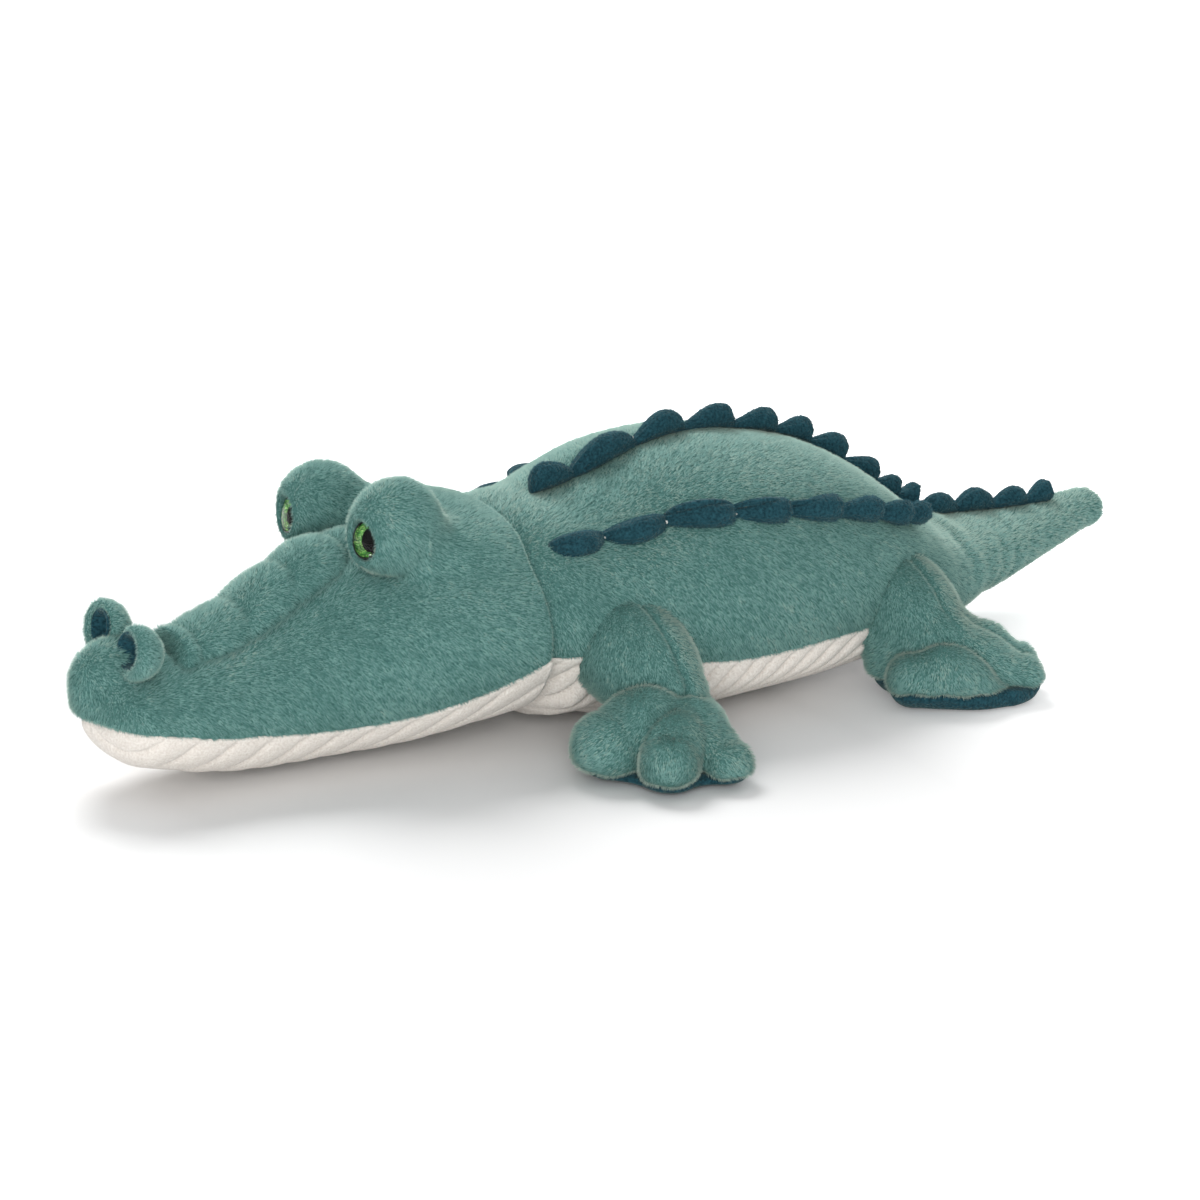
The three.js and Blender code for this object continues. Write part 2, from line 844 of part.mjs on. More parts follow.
function bodyAt(name, place) {
  const body = new THREE.Group();
  body.name = name;
  body.position.copy(place);
  toy.add(body);
  return body;
}

function addPiece(body, name, solid, look) {
  const geometry = geometryOf(solid);
  geometry.translate(-body.position.x, -body.position.y, -body.position.z);
  const mesh = new THREE.Mesh(geometry, new THREE.MeshStandardMaterial(look));
  mesh.name = name;
  body.add(mesh);
}

const torso_body = bodyAt("torso_body", new THREE.Vector3());
addPiece(torso_body, "torso", torso, plush);
addPiece(torso_body, "belly_panel", belly_panel, ribbed_plush);
addPiece(torso_body, "centre_ridge", centre_ridge, dark_plush);
addPiece(torso_body, "left_ridge", side_ridge.subtract(side_ridge_clear), dark_plush);
addPiece(torso_body, "right_ridge", mirrored(side_ridge).subtract(side_ridge_clear), dark_plush);

const head_body = bodyAt("head_body", neck_axis);
addPiece(head_body, "head", head_skin, plush);
addPiece(head_body, "chin_panel", chin_panel, ribbed_plush);
addPiece(head_body, "snout_bridge", snout_bridge, plush);
const paired_head_pieces = [
  ["brow", brow, plush],
  ["eye_dome", eye_dome, clear_plastic],
  ["eye_back", eye_back, black_plastic],
  ["eye_washer", eye_washer, white_plastic],
  ["nostril", nostril, plush],
  ["nostril_lining", nostril_lining, dark_plush],
];
for (const [name, solid, look] of paired_head_pieces) {
  addPiece(head_body, `left_${name}`, solid.subtract(head_grown), look);
  addPiece(head_body, `right_${name}`, mirrored(solid).subtract(head_grown), look);
}

const tail_body = bodyAt("tail_body", tail_axis);
addPiece(tail_body, "tail", tail, plush);
addPiece(tail_body, "tail_ridge", tail_ridge, dark_plush);

for (const [end, parts] of [["front", front_leg], ["rear", rear_leg]]) {
  for (const side of ["left", "right"]) {
    const name = `${end}_${side}`;
    const place = parts.hip.clone();
    place.x *= side === "left" ? 1 : -1;
    const own = (solid) => (side === "left" ? solid : mirrored(solid));
    const body = bodyAt(`${name}_leg_body`, place);
    addPiece(body, `${name}_leg`, own(parts.leg), plush);
    addPiece(body, `${name}_paw`, own(parts.paw), plush);
    addPiece(body, `${name}_sole`, own(parts.sole), dark_plush);
  }
}

// The part's origin is the middle of its footprint on the floor.
const box = new THREE.Box3().setFromObject(group, true);
toy.position.set(-(box.min.x + box.max.x) / 2, -(box.min.y + box.max.y) / 2, -box.min.z);

export default group;
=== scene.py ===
"""Plush crocodile: the dressed model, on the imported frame.

Shapes are worked out in millimetres in the toy's own frame, where the neck's axis is at y = 0, the nose
points to -Y and the toy's left side is +X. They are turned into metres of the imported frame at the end.
"""

import json
import math

import bpy
import numpy as np
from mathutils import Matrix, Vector


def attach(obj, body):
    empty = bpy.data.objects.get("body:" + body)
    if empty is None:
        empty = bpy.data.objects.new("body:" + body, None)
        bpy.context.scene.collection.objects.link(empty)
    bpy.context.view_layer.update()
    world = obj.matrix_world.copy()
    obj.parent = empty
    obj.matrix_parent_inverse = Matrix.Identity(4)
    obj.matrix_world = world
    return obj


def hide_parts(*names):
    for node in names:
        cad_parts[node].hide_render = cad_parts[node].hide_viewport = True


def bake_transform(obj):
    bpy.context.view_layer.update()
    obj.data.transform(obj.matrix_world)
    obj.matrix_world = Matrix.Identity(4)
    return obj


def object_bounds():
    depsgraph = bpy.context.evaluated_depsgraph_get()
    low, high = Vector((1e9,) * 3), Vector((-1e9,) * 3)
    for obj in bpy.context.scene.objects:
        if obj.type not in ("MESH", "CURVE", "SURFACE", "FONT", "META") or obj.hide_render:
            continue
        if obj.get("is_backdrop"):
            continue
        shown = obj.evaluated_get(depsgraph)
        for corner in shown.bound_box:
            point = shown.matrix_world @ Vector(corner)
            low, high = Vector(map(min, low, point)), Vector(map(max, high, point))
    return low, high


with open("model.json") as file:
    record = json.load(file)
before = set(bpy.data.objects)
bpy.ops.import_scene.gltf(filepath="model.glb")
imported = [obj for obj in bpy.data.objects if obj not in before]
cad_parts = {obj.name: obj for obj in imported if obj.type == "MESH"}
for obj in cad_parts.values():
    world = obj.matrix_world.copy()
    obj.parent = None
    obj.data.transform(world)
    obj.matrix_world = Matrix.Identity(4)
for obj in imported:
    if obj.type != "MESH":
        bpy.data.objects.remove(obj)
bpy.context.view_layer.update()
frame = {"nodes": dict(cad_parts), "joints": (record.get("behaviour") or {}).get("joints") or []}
NECK_Y = 1000 * next(joint["pos_m"][1] for joint in frame["joints"] if joint["name"] == "head_turn")

# Sizes shared with the CAD, in millimetres.
TORSO_LENGTH, TORSO_HALF_WIDTH, TORSO_HEIGHT, BELLY_CLEARANCE = 212, 79, 106, 2
NECK_RADIUS, NECK_HALF_HEIGHT, NECK_HEIGHT = 66, 41, 51
TAIL_ROOT_RADIUS, TAIL_ROOT_HALF_HEIGHT, TAIL_ROOT_HEIGHT, TAIL_ROOT_INSET = 40, 23, 32, 8
HEAD_LENGTH, HEAD_HALF_WIDTH, HEAD_HEIGHT, CHIN_CLEARANCE = 188, 64, 96, 1.2
RIM_LAP, NOSE_LENGTH = 30, 22
BROW_PLACE, BROW_SIZES = np.array([29.0, -80.0, 97.0]), np.array([18.0, 25.0, 20.0])
EYE_OUTWARD_DEGREES, EYE_TURN_DEGREES, EYE_LIFT_DEGREES, EYE_DEPTH_SHARE = 14, 10, 12, 0.82
NOSTRIL_SPACING, NOSTRIL_REACH, NOSTRIL_LIFT = 30, 191, 8
TAIL_LENGTH, TAIL_TIP_LENGTH, TAIL_TIP_HEIGHT = 112, 9, 40
RIDGE_HALF_THICKNESS, RIDGE_HEIGHT, TAIL_RIDGE_HEIGHT = 5, 11, 9
SOLE_CUT, PAW_SQUARENESS, PALM_LENGTH = 1.5, 2.2, 34
RUMP_LENGTH, FLAT_END = 13, 1e6

TORSO_SHARES = [
    [.95, .915, .012, 2.1], [1, .98, 0, 2.2], [1, 1, 0, 2.2], [.975, .98, 0, 2.2], [.925, .925, 0, 2.2],
    [.84, .815, .01, 2.2], [.71, .655, .03, 2.1], [.565, .5, .055, 2]]
HEAD_SHARES = [
    [1, .96, .045, 2], [1, 1, .03, 2], [.95, .985, .01, 2.05], [.85, .93, 0, 2.1], [.74, .84, 0, 2.1],
    [.65, .74, 0, 2.1], [.58, .65, .01, 2.1], [.55, .6, .045, 2.1], [.51, .56, .1, 2.2]]
TAIL_SHARES = [[.93, .9], [.76, .78], [.6, .66], [.44, .54], [.3, .44]]
BELLY_SEAM_SHARES = [.354, .302, .264, .247, .245, .25, .25, .24, .22]
MOUTH_SEAM_SHARES = [.42, .31, .235, .2, .19, .2, .24, .31, .39]
CENTRE_RIDGE_SHARES = [0, .1, .25, .37, .49, .6, .69, .78, .87, .93, .975]
TAIL_RIDGE_SHARES = [.1, .28, .48, .66, .8]
SIDE_RIDGE_SHARES = [
    [-.09, .565], [.03, .565], [.15, .546], [.28, .462], [.4, .42], [.52, .388], [.63, .384], [.72, .405],
    [.79, .45]]

SIDES = (("left", 1), ("right", -1))

# The skin lies under the tips of its pile, and the filling's core lies deeper, behind the white panels.
PILE_DEPTH, CORE_DEPTH = 1.9, 9

# Steps between the points of each skin, in the full render and in the quick one.
PITCHES = {
    "body": (1.9, 2.4), "belly": (1.1, 2), "chin": (1, 1.6), "head": (1.3, 1.8), "leg": (1.3, 1.8),
    "sole": (1.3, 2), "nostril": (0.6, 0.9), "lining": (0.4, 0.7)}
PITCH = {name: full for name, (full, quick) in PITCHES.items()}

# Lifts or drops a border past the whole toy.
OUT_OF_REACH = 300


def rows_at(table, share):
    """Rows of a table at shares of its length, on a Catmull-Rom curve through the rows."""
    table = np.asarray(table, float)
    place = np.clip(share, 0, 1) * (len(table) - 1)
    first = np.minimum(place.astype(int), len(table) - 2)
    t = (place - first)[:, None]
    a, b, c, d = (table[np.clip(first + step, 0, len(table) - 1)] for step in (-1, 0, 1, 2))
    slope, after = (c - a) / 2, (d - b) / 2
    return ((((2 * (b - c) + slope + after) * t) + 3 * (c - b) - 2 * slope - after) * t + slope) * t + b


def smooth_min(a, b, k):
    h = np.clip(0.5 + 0.5 * (b - a) / k, 0, 1)
    return b * (1 - h) + a * h - k * h * (1 - h)


def smooth_max(a, b, k):
    return -smooth_min(-a, -b, k)


def creased(a, b, k, depth, width=1.6):
    """Both fields joined, with a sewn crease of this depth where they meet."""
    return smooth_min(a, b, k) + depth * np.exp(-((a - b) / width) ** 2)


def smooth_step(value, start, end):
    t = np.clip((value - start) / (end - start), 0, 1)
    return t * t * (3 - 2 * t)


def bell(value, width):
    return np.exp(-(value / width) ** 2)


def heading(turn, lift=0):
    """Direction turned from the nose towards the toy's left side and lifted, both in degrees."""
    turn, lift = math.radians(turn), math.radians(lift)
    return np.array([math.sin(turn) * math.cos(lift), -math.cos(turn) * math.cos(lift), math.sin(lift)])


def level_across(ahead):
    return np.array([-ahead[1], ahead[0], 0])


def folded(p):
    """The points, with those of the right side mirrored to the left."""
    return np.concatenate([np.abs(p[:, :1]), p[:, 1:]], 1)


def slope_of(field, p, step=0.3):
    value = field(p)
    return value, np.stack([field(p + axis) - value for axis in np.eye(3) * step], 1) / step


def measured(field):
    """The field, scaled so that near its surface it is the distance in millimetres."""
    def distance(p):
        value, slope = slope_of(field, p)
        return value / np.maximum(np.linalg.norm(slope, axis=1), 1e-5)
    return distance


class Form:
    """A stuffed form: rounded sections along a line, with a rounded end at each side."""

    def __init__(self, start, end, rows, first_end, last_end, waist=lambda share: 0.5 + 0 * share):
        self.start, self.end, self.first_end, self.last_end = start, end, first_end, last_end
        self.shares = np.linspace(0, 1, 240)
        table = rows_at(rows, self.shares)
        half, top, bottom, square = table.T
        share = waist(self.shares)
        middle = bottom + (top - bottom) * share
        self.columns = [half, middle, top - middle, middle - bottom, square]

    def section(self, share):
        return [np.interp(share, self.shares, column) for column in self.columns]

    def __call__(self, p):
        length = abs(self.end - self.start)
        share = (p[:, 1] - self.start) / (self.end - self.start)
        half, middle, top, bottom, square = self.section(share)
        rise = p[:, 2] - middle
        height = np.where(rise > 0, top, bottom)
        round_way = (np.abs(p[:, 0] / half) ** square + np.abs(rise / height) ** square) ** (1 / square)
        before, after = np.maximum(-share, 0) * length, np.maximum(share - 1, 0) * length
        return np.hypot(round_way, before / self.first_end + after / self.last_end) - 1

    def surface(self, share, quarter):
        """Points on the form at shares of its length and of the quarter turn from its side to its top."""
        half, middle, top, _, square = self.section(share)
        length = self.end - self.start
        before = np.maximum(-share, 0) * abs(length)
        scale = np.sqrt(np.maximum(0, 1 - (before / self.first_end) ** 2))
        angle = quarter * math.pi / 2
        power = 2 / square
        x = scale * half * np.abs(np.cos(angle)) ** power
        y = self.start + np.clip(share, 0, 1) * length - np.sign(length) * before
        return np.stack([x, y, middle + scale * top * np.sin(angle) ** power], 1)


def upright_rows(shares, half_width, height, lift):
    return [[w * half_width, lift + top * height, lift + low * height, n] for w, top, low, n in shares]


torso_rows = [[NECK_RADIUS, NECK_HEIGHT + NECK_HALF_HEIGHT, NECK_HEIGHT - NECK_HALF_HEIGHT, 2]]
torso_rows += upright_rows(TORSO_SHARES, TORSO_HALF_WIDTH, TORSO_HEIGHT, BELLY_CLEARANCE)
torso_form = Form(
    0, TORSO_LENGTH, torso_rows, NECK_RADIUS, RUMP_LENGTH,
    lambda share: 0.5 - 0.04 * np.minimum(1, share * len(torso_rows)))
head_form = Form(
    -RIM_LAP, -HEAD_LENGTH, upright_rows(HEAD_SHARES, HEAD_HALF_WIDTH, HEAD_HEIGHT, CHIN_CLEARANCE),
    FLAT_END, NOSE_LENGTH)
tail_y = TORSO_LENGTH - TAIL_ROOT_INSET
tail_rows = [[
    TAIL_ROOT_RADIUS, TAIL_ROOT_HEIGHT + TAIL_ROOT_HALF_HEIGHT, TAIL_ROOT_HEIGHT - TAIL_ROOT_HALF_HEIGHT, 2]]
for i, (width, height) in enumerate(TAIL_SHARES):
    middle = TAIL_ROOT_HEIGHT + (TAIL_TIP_HEIGHT - TAIL_ROOT_HEIGHT) * ((i + 1) / len(TAIL_SHARES)) ** 2
    half_height = height * TAIL_ROOT_HALF_HEIGHT
    tail_rows.append([width * TAIL_ROOT_RADIUS, middle + half_height, middle - half_height, 2])
tail_form = Form(tail_y, tail_y + TAIL_LENGTH, tail_rows, TAIL_ROOT_RADIUS, TAIL_TIP_LENGTH)

torso_distance, head_distance, tail_distance = measured(torso_form), measured(head_form), measured(tail_form)


def ellipsoid(centre, sizes):
    def distance(p):
        q = (p - centre) / sizes
        near = np.linalg.norm(q, axis=1)
        slope = np.linalg.norm(q / sizes, axis=1)
        return near * (near - 1) / np.maximum(slope, 1e-6)
    return distance


def lumps(seed, low, high, count=7):
    """Soft unevenness between -1 and 1, with waves of these lengths."""
    rng = np.random.default_rng(seed)
    ways = rng.normal(size=(count, 3))
    ways *= (2 * math.pi / rng.uniform(low, high, count) / np.linalg.norm(ways, axis=1))[:, None]
    phases = rng.uniform(0, 2 * math.pi, count)
    return lambda p: np.sin(p @ ways.T + phases).sum(1) / math.sqrt(2 * count)


def seam_height(shares, start, end, lift, height):
    heights = lift + np.array(shares)[:, None] * height
    return lambda y: rows_at(heights, (y - start) / (end - start))[:, 0]


belly_seam = seam_height(BELLY_SEAM_SHARES, 0, TORSO_LENGTH, BELLY_CLEARANCE, TORSO_HEIGHT)
mouth_seam = seam_height(MOUTH_SEAM_SHARES, -HEAD_LENGTH - NOSE_LENGTH, -RIM_LAP, CHIN_CLEARANCE, HEAD_HEIGHT)
BORDER_SHIFTS = [[-210, -7.5], [-202, -5], [-190, -1], [-176, 1.2], [-150, 3], [-110, 2], [-30, 1.6]]


def mouth_border(y):
    """Height at which the teal plush ends over the chin."""
    return mouth_seam(y) + np.interp(y, *np.array(BORDER_SHIFTS).T)


def belly_border(y):
    """Height at which the teal plush ends over the belly."""
    return belly_seam(y) + 0.6 - 2.4 * bell(y - 25, 45)


# Meshes from fields

def surface_nets(field, low, high, pitch):
    """Closed quad mesh on the zero of a field, one point per cell that the surface crosses."""
    axes = [np.arange(a, b + pitch, pitch) for a, b in zip(low, high)]
    sizes = [len(axis) for axis in axes]
    grid = np.stack(np.meshgrid(*axes, indexing="ij"), -1).reshape(-1, 3)
    values = np.concatenate([field(part) for part in np.array_split(grid, 1 + len(grid) // 200000)])
    values = values.reshape(sizes)
    for side in range(3):
        edge = [slice(None)] * 3
        edge[side] = [0, -1]
        values[tuple(edge)] = np.maximum(values[tuple(edge)], 0.01)
    inside = values < 0
    corners = [(i, j, k) for i in (0, 1) for j in (0, 1) for k in (0, 1)]

    def at(array, corner):
        return array[tuple(slice(c, c + n - 1) for c, n in zip(corner, sizes))]

    count = sum(at(inside, corner).astype(np.int8) for corner in corners)
    active = (count > 0) & (count < 8)
    index = -np.ones(active.shape, int)
    index[active] = np.arange(active.sum())
    total = np.zeros((active.sum(), 3))
    hits = np.zeros(active.sum())
    for a in corners:
        for axis in range(3):
            if a[axis]:
                continue
            b = tuple(1 if i == axis else a[i] for i in range(3))
            va, vb = at(values, a)[active], at(values, b)[active]
            cross = (va < 0) != (vb < 0)
            t = np.where(cross, va / np.where(cross, va - vb, 1), 0)
            total[cross] += (np.array(a, float) + t[:, None] * (np.array(b) - np.array(a)))[cross]
            hits += cross
    points = (np.argwhere(active) + total / hits[:, None]) * pitch + np.array([axis[0] for axis in axes])
    quads = []
    for axis in range(3):
        u, v = (axis + 1) % 3, (axis + 2) % 3
        low_side = [slice(1, n - 1) for n in sizes]
        low_side[axis] = slice(0, sizes[axis] - 1)
        high_side = list(low_side)
        high_side[axis] = slice(1, sizes[axis])
        a, b = inside[tuple(low_side)], inside[tuple(high_side)]
        offset = np.array([part.start for part in low_side])
        for sign, mask in ((1, a & ~b), (-1, ~a & b)):
            base = np.argwhere(mask) + offset
            eu, ev = np.eye(3, dtype=int)[u], np.eye(3, dtype=int)[v]
            ring = [base - eu - ev, base - ev, base, base - eu]
            face = np.stack([index[tuple(r.T)] for r in ring], 1)
            quads.append(face if sign > 0 else face[:, ::-1])
    return points, np.concatenate(quads)


def skin(field, low, high, pitch):
    """Mesh of a field, with its points drawn onto the surface."""
    points, quads = surface_nets(field, low, high, pitch)
    for _ in range(2):
        value, slope = slope_of(field, points)
        steep = np.maximum((slope ** 2).sum(1), 0.3)
        points = points - slope * np.clip(value / steep, -pitch / 2, pitch / 2)[:, None]
    return points, quads


def normals_of(points, faces):
    corners = points[faces]
    if faces.shape[1] == 3:
        across = np.cross(corners[:, 1] - corners[:, 0], corners[:, 2] - corners[:, 0])
    else:
        across = np.cross(corners[:, 2] - corners[:, 0], corners[:, 3] - corners[:, 1])
    normals = np.zeros_like(points)
    for column in faces.T:
        for i in range(3):
            normals[:, i] += np.bincount(column, across[:, i], len(points))
    return normals / np.maximum(np.linalg.norm(normals, axis=1), 1e-9)[:, None]


def metres(points):
    return (points + [0, NECK_Y, 0]) / 1000


def mesh_object(name, points, faces, material, normals=None):
    """Object from points in the toy's millimetres and faces that all have as many corners."""
    mesh = bpy.data.meshes.new(name)
    count, sides = faces.shape
    mesh.vertices.add(len(points))
    mesh.vertices.foreach_set("co", metres(points).astype(np.float32).ravel())
    mesh.loops.add(count * sides)
    mesh.loops.foreach_set("vertex_index", faces.astype(np.int32).ravel())
    mesh.polygons.add(count)
    mesh.polygons.foreach_set("loop_start", np.arange(0, count * sides, sides, dtype=np.int32))
    mesh.update(calc_edges=True)
    mesh.polygons.foreach_set("use_smooth", np.ones(count, bool))
    if normals is not None:
        mesh.normals_split_custom_set_from_vertices(normals.astype(np.float32))
    mesh.materials.append(material)
    piece = bpy.data.objects.new(name, mesh)
    bpy.context.scene.collection.objects.link(piece)
    return piece


def on_side(sign, mesh):
    """A mesh made for the left side, or its mirror image for the right."""
    points, faces = mesh
    return (points, faces) if sign > 0 else (points * [-1, 1, 1], faces[:, ::-1])


def triangles_of(faces):
    return faces if faces.shape[1] == 3 else np.concatenate([faces[:, [0, 1, 2]], faces[:, [0, 2, 3]]])


def facing_out(points, triangles):
    """Triangles of a closed mesh, with their normals outward."""
    corners = points[triangles]
    volume = np.einsum("ij,ij->i", corners[:, 0], np.cross(corners[:, 1], corners[:, 2])).sum()
    return triangles if volume > 0 else triangles[:, ::-1]


# Materials

def colour(r, g, b):
    """Linear colour from the 0 to 255 values that a screen shows."""
    return tuple(((c / 255 + 0.055) / 1.055) ** 2.4 if c > 10 else c / 3294.6 for c in (r, g, b)) + (1,)


def add_node(tree, kind, values=(), links=()):
    """A shader node with its settings, its inputs' values and the outputs that feed it."""
    node = tree.nodes.new(kind)
    for key, value in dict(values).items():
        if isinstance(key, str) and hasattr(node, key):
            setattr(node, key, value)
        else:
            node.inputs[key].default_value = value
    for key, output in dict(links).items():
        tree.links.new(output, node.inputs[key])
    return node


class Look:
    """A Principled material and the nodes that pattern it."""

    def __init__(self, name, base, roughness, **inputs):
        self.material = bpy.data.materials.new(name)
        self.material.use_nodes = True
        self.tree = self.material.node_tree
        self.shader = self.tree.nodes["Principled BSDF"]
        self.shader.inputs["Base Color"].default_value = base
        self.shader.inputs["Roughness"].default_value = roughness
        for key, value in inputs.items():
            self.shader.inputs[key.replace("_", " ")].default_value = value
        self.place = self.tree.nodes.new("ShaderNodeTexCoord")

    def node(self, kind, values=(), links=()):
        return add_node(self.tree, kind, values, links)

    def noise(self, scale, detail):
        return self.node(
            "ShaderNodeTexNoise", {"Scale": scale, "Detail": detail},
            {"Vector": self.place.outputs["Object"]}).outputs["Fac"]

    def ramp(self, factor, stops):
        node = self.node("ShaderNodeValToRGB", links={"Fac": factor})
        elements = node.color_ramp.elements
        while len(elements) < len(stops):
            elements.new(0.5)
        for element, (position, tint) in zip(elements, stops):
            element.position = position
            element.color = tint
        return node.outputs["Color"]

    def paint(self, output):
        self.tree.links.new(output, self.shader.inputs["Base Color"])

    def bump(self, height, distance, strength=1):
        node = self.node("ShaderNodeBump", {"Strength": strength, "Distance": distance}, {"Height": height})
        self.tree.links.new(node.outputs["Normal"], self.shader.inputs["Normal"])


PALE_SHEEN = colour(204, 222, 208)


def cloth(name, base, sheen, tint=PALE_SHEEN):
    return Look(
        name, base, 0.95, Sheen_Weight=sheen, Sheen_Roughness=0.4, Sheen_Tint=tint,
        Specular_IOR_Level=0.1)


def plush_look(name, dark, light, sheen):
    look = cloth(name, light, sheen)
    fine = look.noise(900, 4)
    look.paint(look.ramp(fine, [(0.35, dark), (0.65, light)]))
    look.bump(fine, 0.0012, 0.8)
    return look.material


# Painted shade: the teal backing under the pile is darker than the pile's tones, for the shade deep between
# the strands.
TEAL_BACKING_PAINTED_SHADE = plush_look("teal_backing_painted_shade", colour(64, 104, 100), colour(86, 130, 125), 0.1)
DARK_SKIN = plush_look("dark_backing", colour(24, 55, 64), colour(42, 84, 95), 0.25)
TEAL_TONES = [
    cloth(f"teal_pile_{i}", colour(*tone), 0.9).material
    for i, tone in enumerate([(92, 137, 132), (113, 158, 152), (130, 173, 167), (154, 184, 174)])]
DARK_TONES = [
    cloth(f"dark_pile_{i}", colour(*tone), 0.3, colour(120, 160, 170)).material
    for i, tone in enumerate([(28, 66, 77), (46, 92, 104)])]


def ribbed_look():
    look = Look("white_ribbed", colour(232, 226, 218), 0.9, Sheen_Weight=0.15, Sheen_Roughness=0.5)
    fine = look.noise(1100, 4)
    look.paint(look.ramp(fine, [(0.3, colour(216, 208, 199)), (0.7, colour(240, 235, 228))]))
    look.bump(fine, 0.0008, 0.7)
    return look.material


RIBBED = ribbed_look()


# How the pieces move

TO_HEAD = ("torso_body", "head_body", (0, -0.092, 0.05), (0, -0.140, 0.05))
TO_TAIL = ("torso_body", "tail_body", (0, 0.122, 0.03), (0, 0.175, 0.03))


def fasten(piece, way, slot, replaced=()):
    """Parent a piece to the body it moves with, or fix it in the frame where its way spans two bodies, and
    hide the parts it replaces.
    """
    if isinstance(way, str):
        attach(piece, way)
    else:
        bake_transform(piece)
    if replaced:
        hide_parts(*replaced)


def add_piece(name, mesh, material, way, slot, replaced=()):
    fasten(mesh_object(name, *mesh, material), way, slot, replaced)


# Pile

PILE_PER_PIECE = 45000


def scatter(points, faces, density, rng):
    """Random places on a mesh, with the mesh's own smooth normal at each."""
    normals = normals_of(points, faces)
    triangles = triangles_of(faces)
    corners = points[triangles]
    area = np.linalg.norm(np.cross(corners[:, 1] - corners[:, 0], corners[:, 2] - corners[:, 0]), axis=1) / 2
    total = int(area.sum() * density)
    chosen = np.searchsorted(np.cumsum(area) / area.sum(), np.sort(rng.random(total)))
    chosen = np.minimum(chosen, len(triangles) - 1)
    u, v = rng.random(total), rng.random(total)
    flip = u + v > 1
    u[flip], v[flip] = 1 - u[flip], 1 - v[flip]
    weights = np.stack([1 - u - v, u, v], 1)[..., None]
    places = (corners[chosen] * weights).sum(1)
    ways = (normals[triangles[chosen]] * weights).sum(1)
    return places, ways / np.linalg.norm(ways, axis=1)[:, None]


def spikes(roots, normals, tips, half_width, rng):
    """One closed three-sided spike per root; its shading leans towards the skin's own normal."""
    count = len(roots)
    side = np.cross(normals, rng.normal(size=(count, 3)))
    side /= np.linalg.norm(side, axis=1)[:, None]
    other = np.cross(normals, side)
    points = np.empty((count, 4, 3))
    shading = np.empty((count, 4, 3))
    for i in range(3):
        angle = 2 * math.pi * i / 3
        out = side * math.cos(angle) + other * math.sin(angle)
        points[:, i] = roots + out * half_width[:, None]
        shading[:, i] = normals + 0.3 * out
    points[:, 3] = tips
    shading[:, 3] = normals
    shading /= np.linalg.norm(shading, axis=2)[..., None]
    base = np.arange(count)[:, None] * 4
    faces = np.concatenate([base + face for face in ([0, 1, 3], [1, 2, 3], [2, 0, 3], [2, 1, 0])])
    return points.reshape(-1, 3), faces, shading.reshape(-1, 3)


streaks = lumps(11, 3, 9, 12)
patches = lumps(12, 25, 70, 8)


def add_pile(
        name, mesh, way, slot, comb, tones, seed, density, length,
        lean=1.0, width=0.19, keep=None, painted_light=None):
    """Short pile on a skin: spikes that lean along the comb, in pieces of one tone each."""
    rng = np.random.default_rng(seed)
    roots, normals = scatter(*mesh, density * (1), rng)
    count = len(roots)
    jitter = rng.normal(size=(count, 3))
    draw = rng.random(count)
    reach = (length(roots) if callable(length) else length) * (0.75 + 0.5 * rng.random(count))
    ways = comb(roots, normals) + 0.22 * jitter
    ways -= normals * (ways * normals).sum(1)[:, None]
    ways /= np.maximum(np.linalg.norm(ways, axis=1), 1e-6)[:, None]
    slant = lean + 0.12 * streaks(roots)
    tips = roots + reach[:, None] * (normals * np.cos(slant)[:, None] + ways * np.sin(slant)[:, None])
    half_width = width * (0.7 + 0.6 * rng.random(count)) * 1
    kept = reach > 0.3
    if keep is not None:
        kept &= keep(roots)
    value = 0.42 + 0.16 * streaks(roots) + 0.1 * patches(roots) + 0.5 * (draw - 0.5)
    # Painted light: tones are drawn at random in streaks and patches, and the painted_light function shifts
    # them paler where light or sheen would fall.
    if painted_light is not None:
        value = value + painted_light(roots, normals)
    tone = np.clip((value * len(tones)).astype(int), 0, len(tones) - 1)
    made = []
    for i, material in enumerate(tones):
        mine = kept & (tone == i)
        if not mine.any():
            continue
        chosen = np.flatnonzero(mine)
        for j, group in enumerate(np.array_split(chosen, 1 + len(chosen) // PILE_PER_PIECE)):
            ways = normals[group]
            parts = spikes(roots[group] - 0.4 * ways, ways, tips[group], half_width[group], rng)
            made.append(mesh_object(f"{name}_{i}{'abcdefgh'[j]}", parts[0], parts[1], material, parts[2]))
    for tuft in made:
        fasten(tuft, way, slot)


# Body: torso and tail in one skin

body_lumps = lumps(1, 45, 110)
BELLY_SAG = [[-36, 0], [-14, 9], [10, 8], [50, 6], [110, 5], [150, 3], [185, 0]]
BACK_LIFT, NAPE_LIFT, FAR_SHOULDER_LIFT = 3.6, 3.5, 3
TAIL_FOLDS = ((226, 1.1), (237, 0.9), (249, 0.6), (262, 0.4))


def resting_torso(p):
    """The torso, spread where its weight rests on the floor."""
    sag = np.interp(p[:, 1], *np.array(BELLY_SAG, float).T)
    return torso_distance(p) - sag * smooth_step(-p[:, 2], -34, -14)


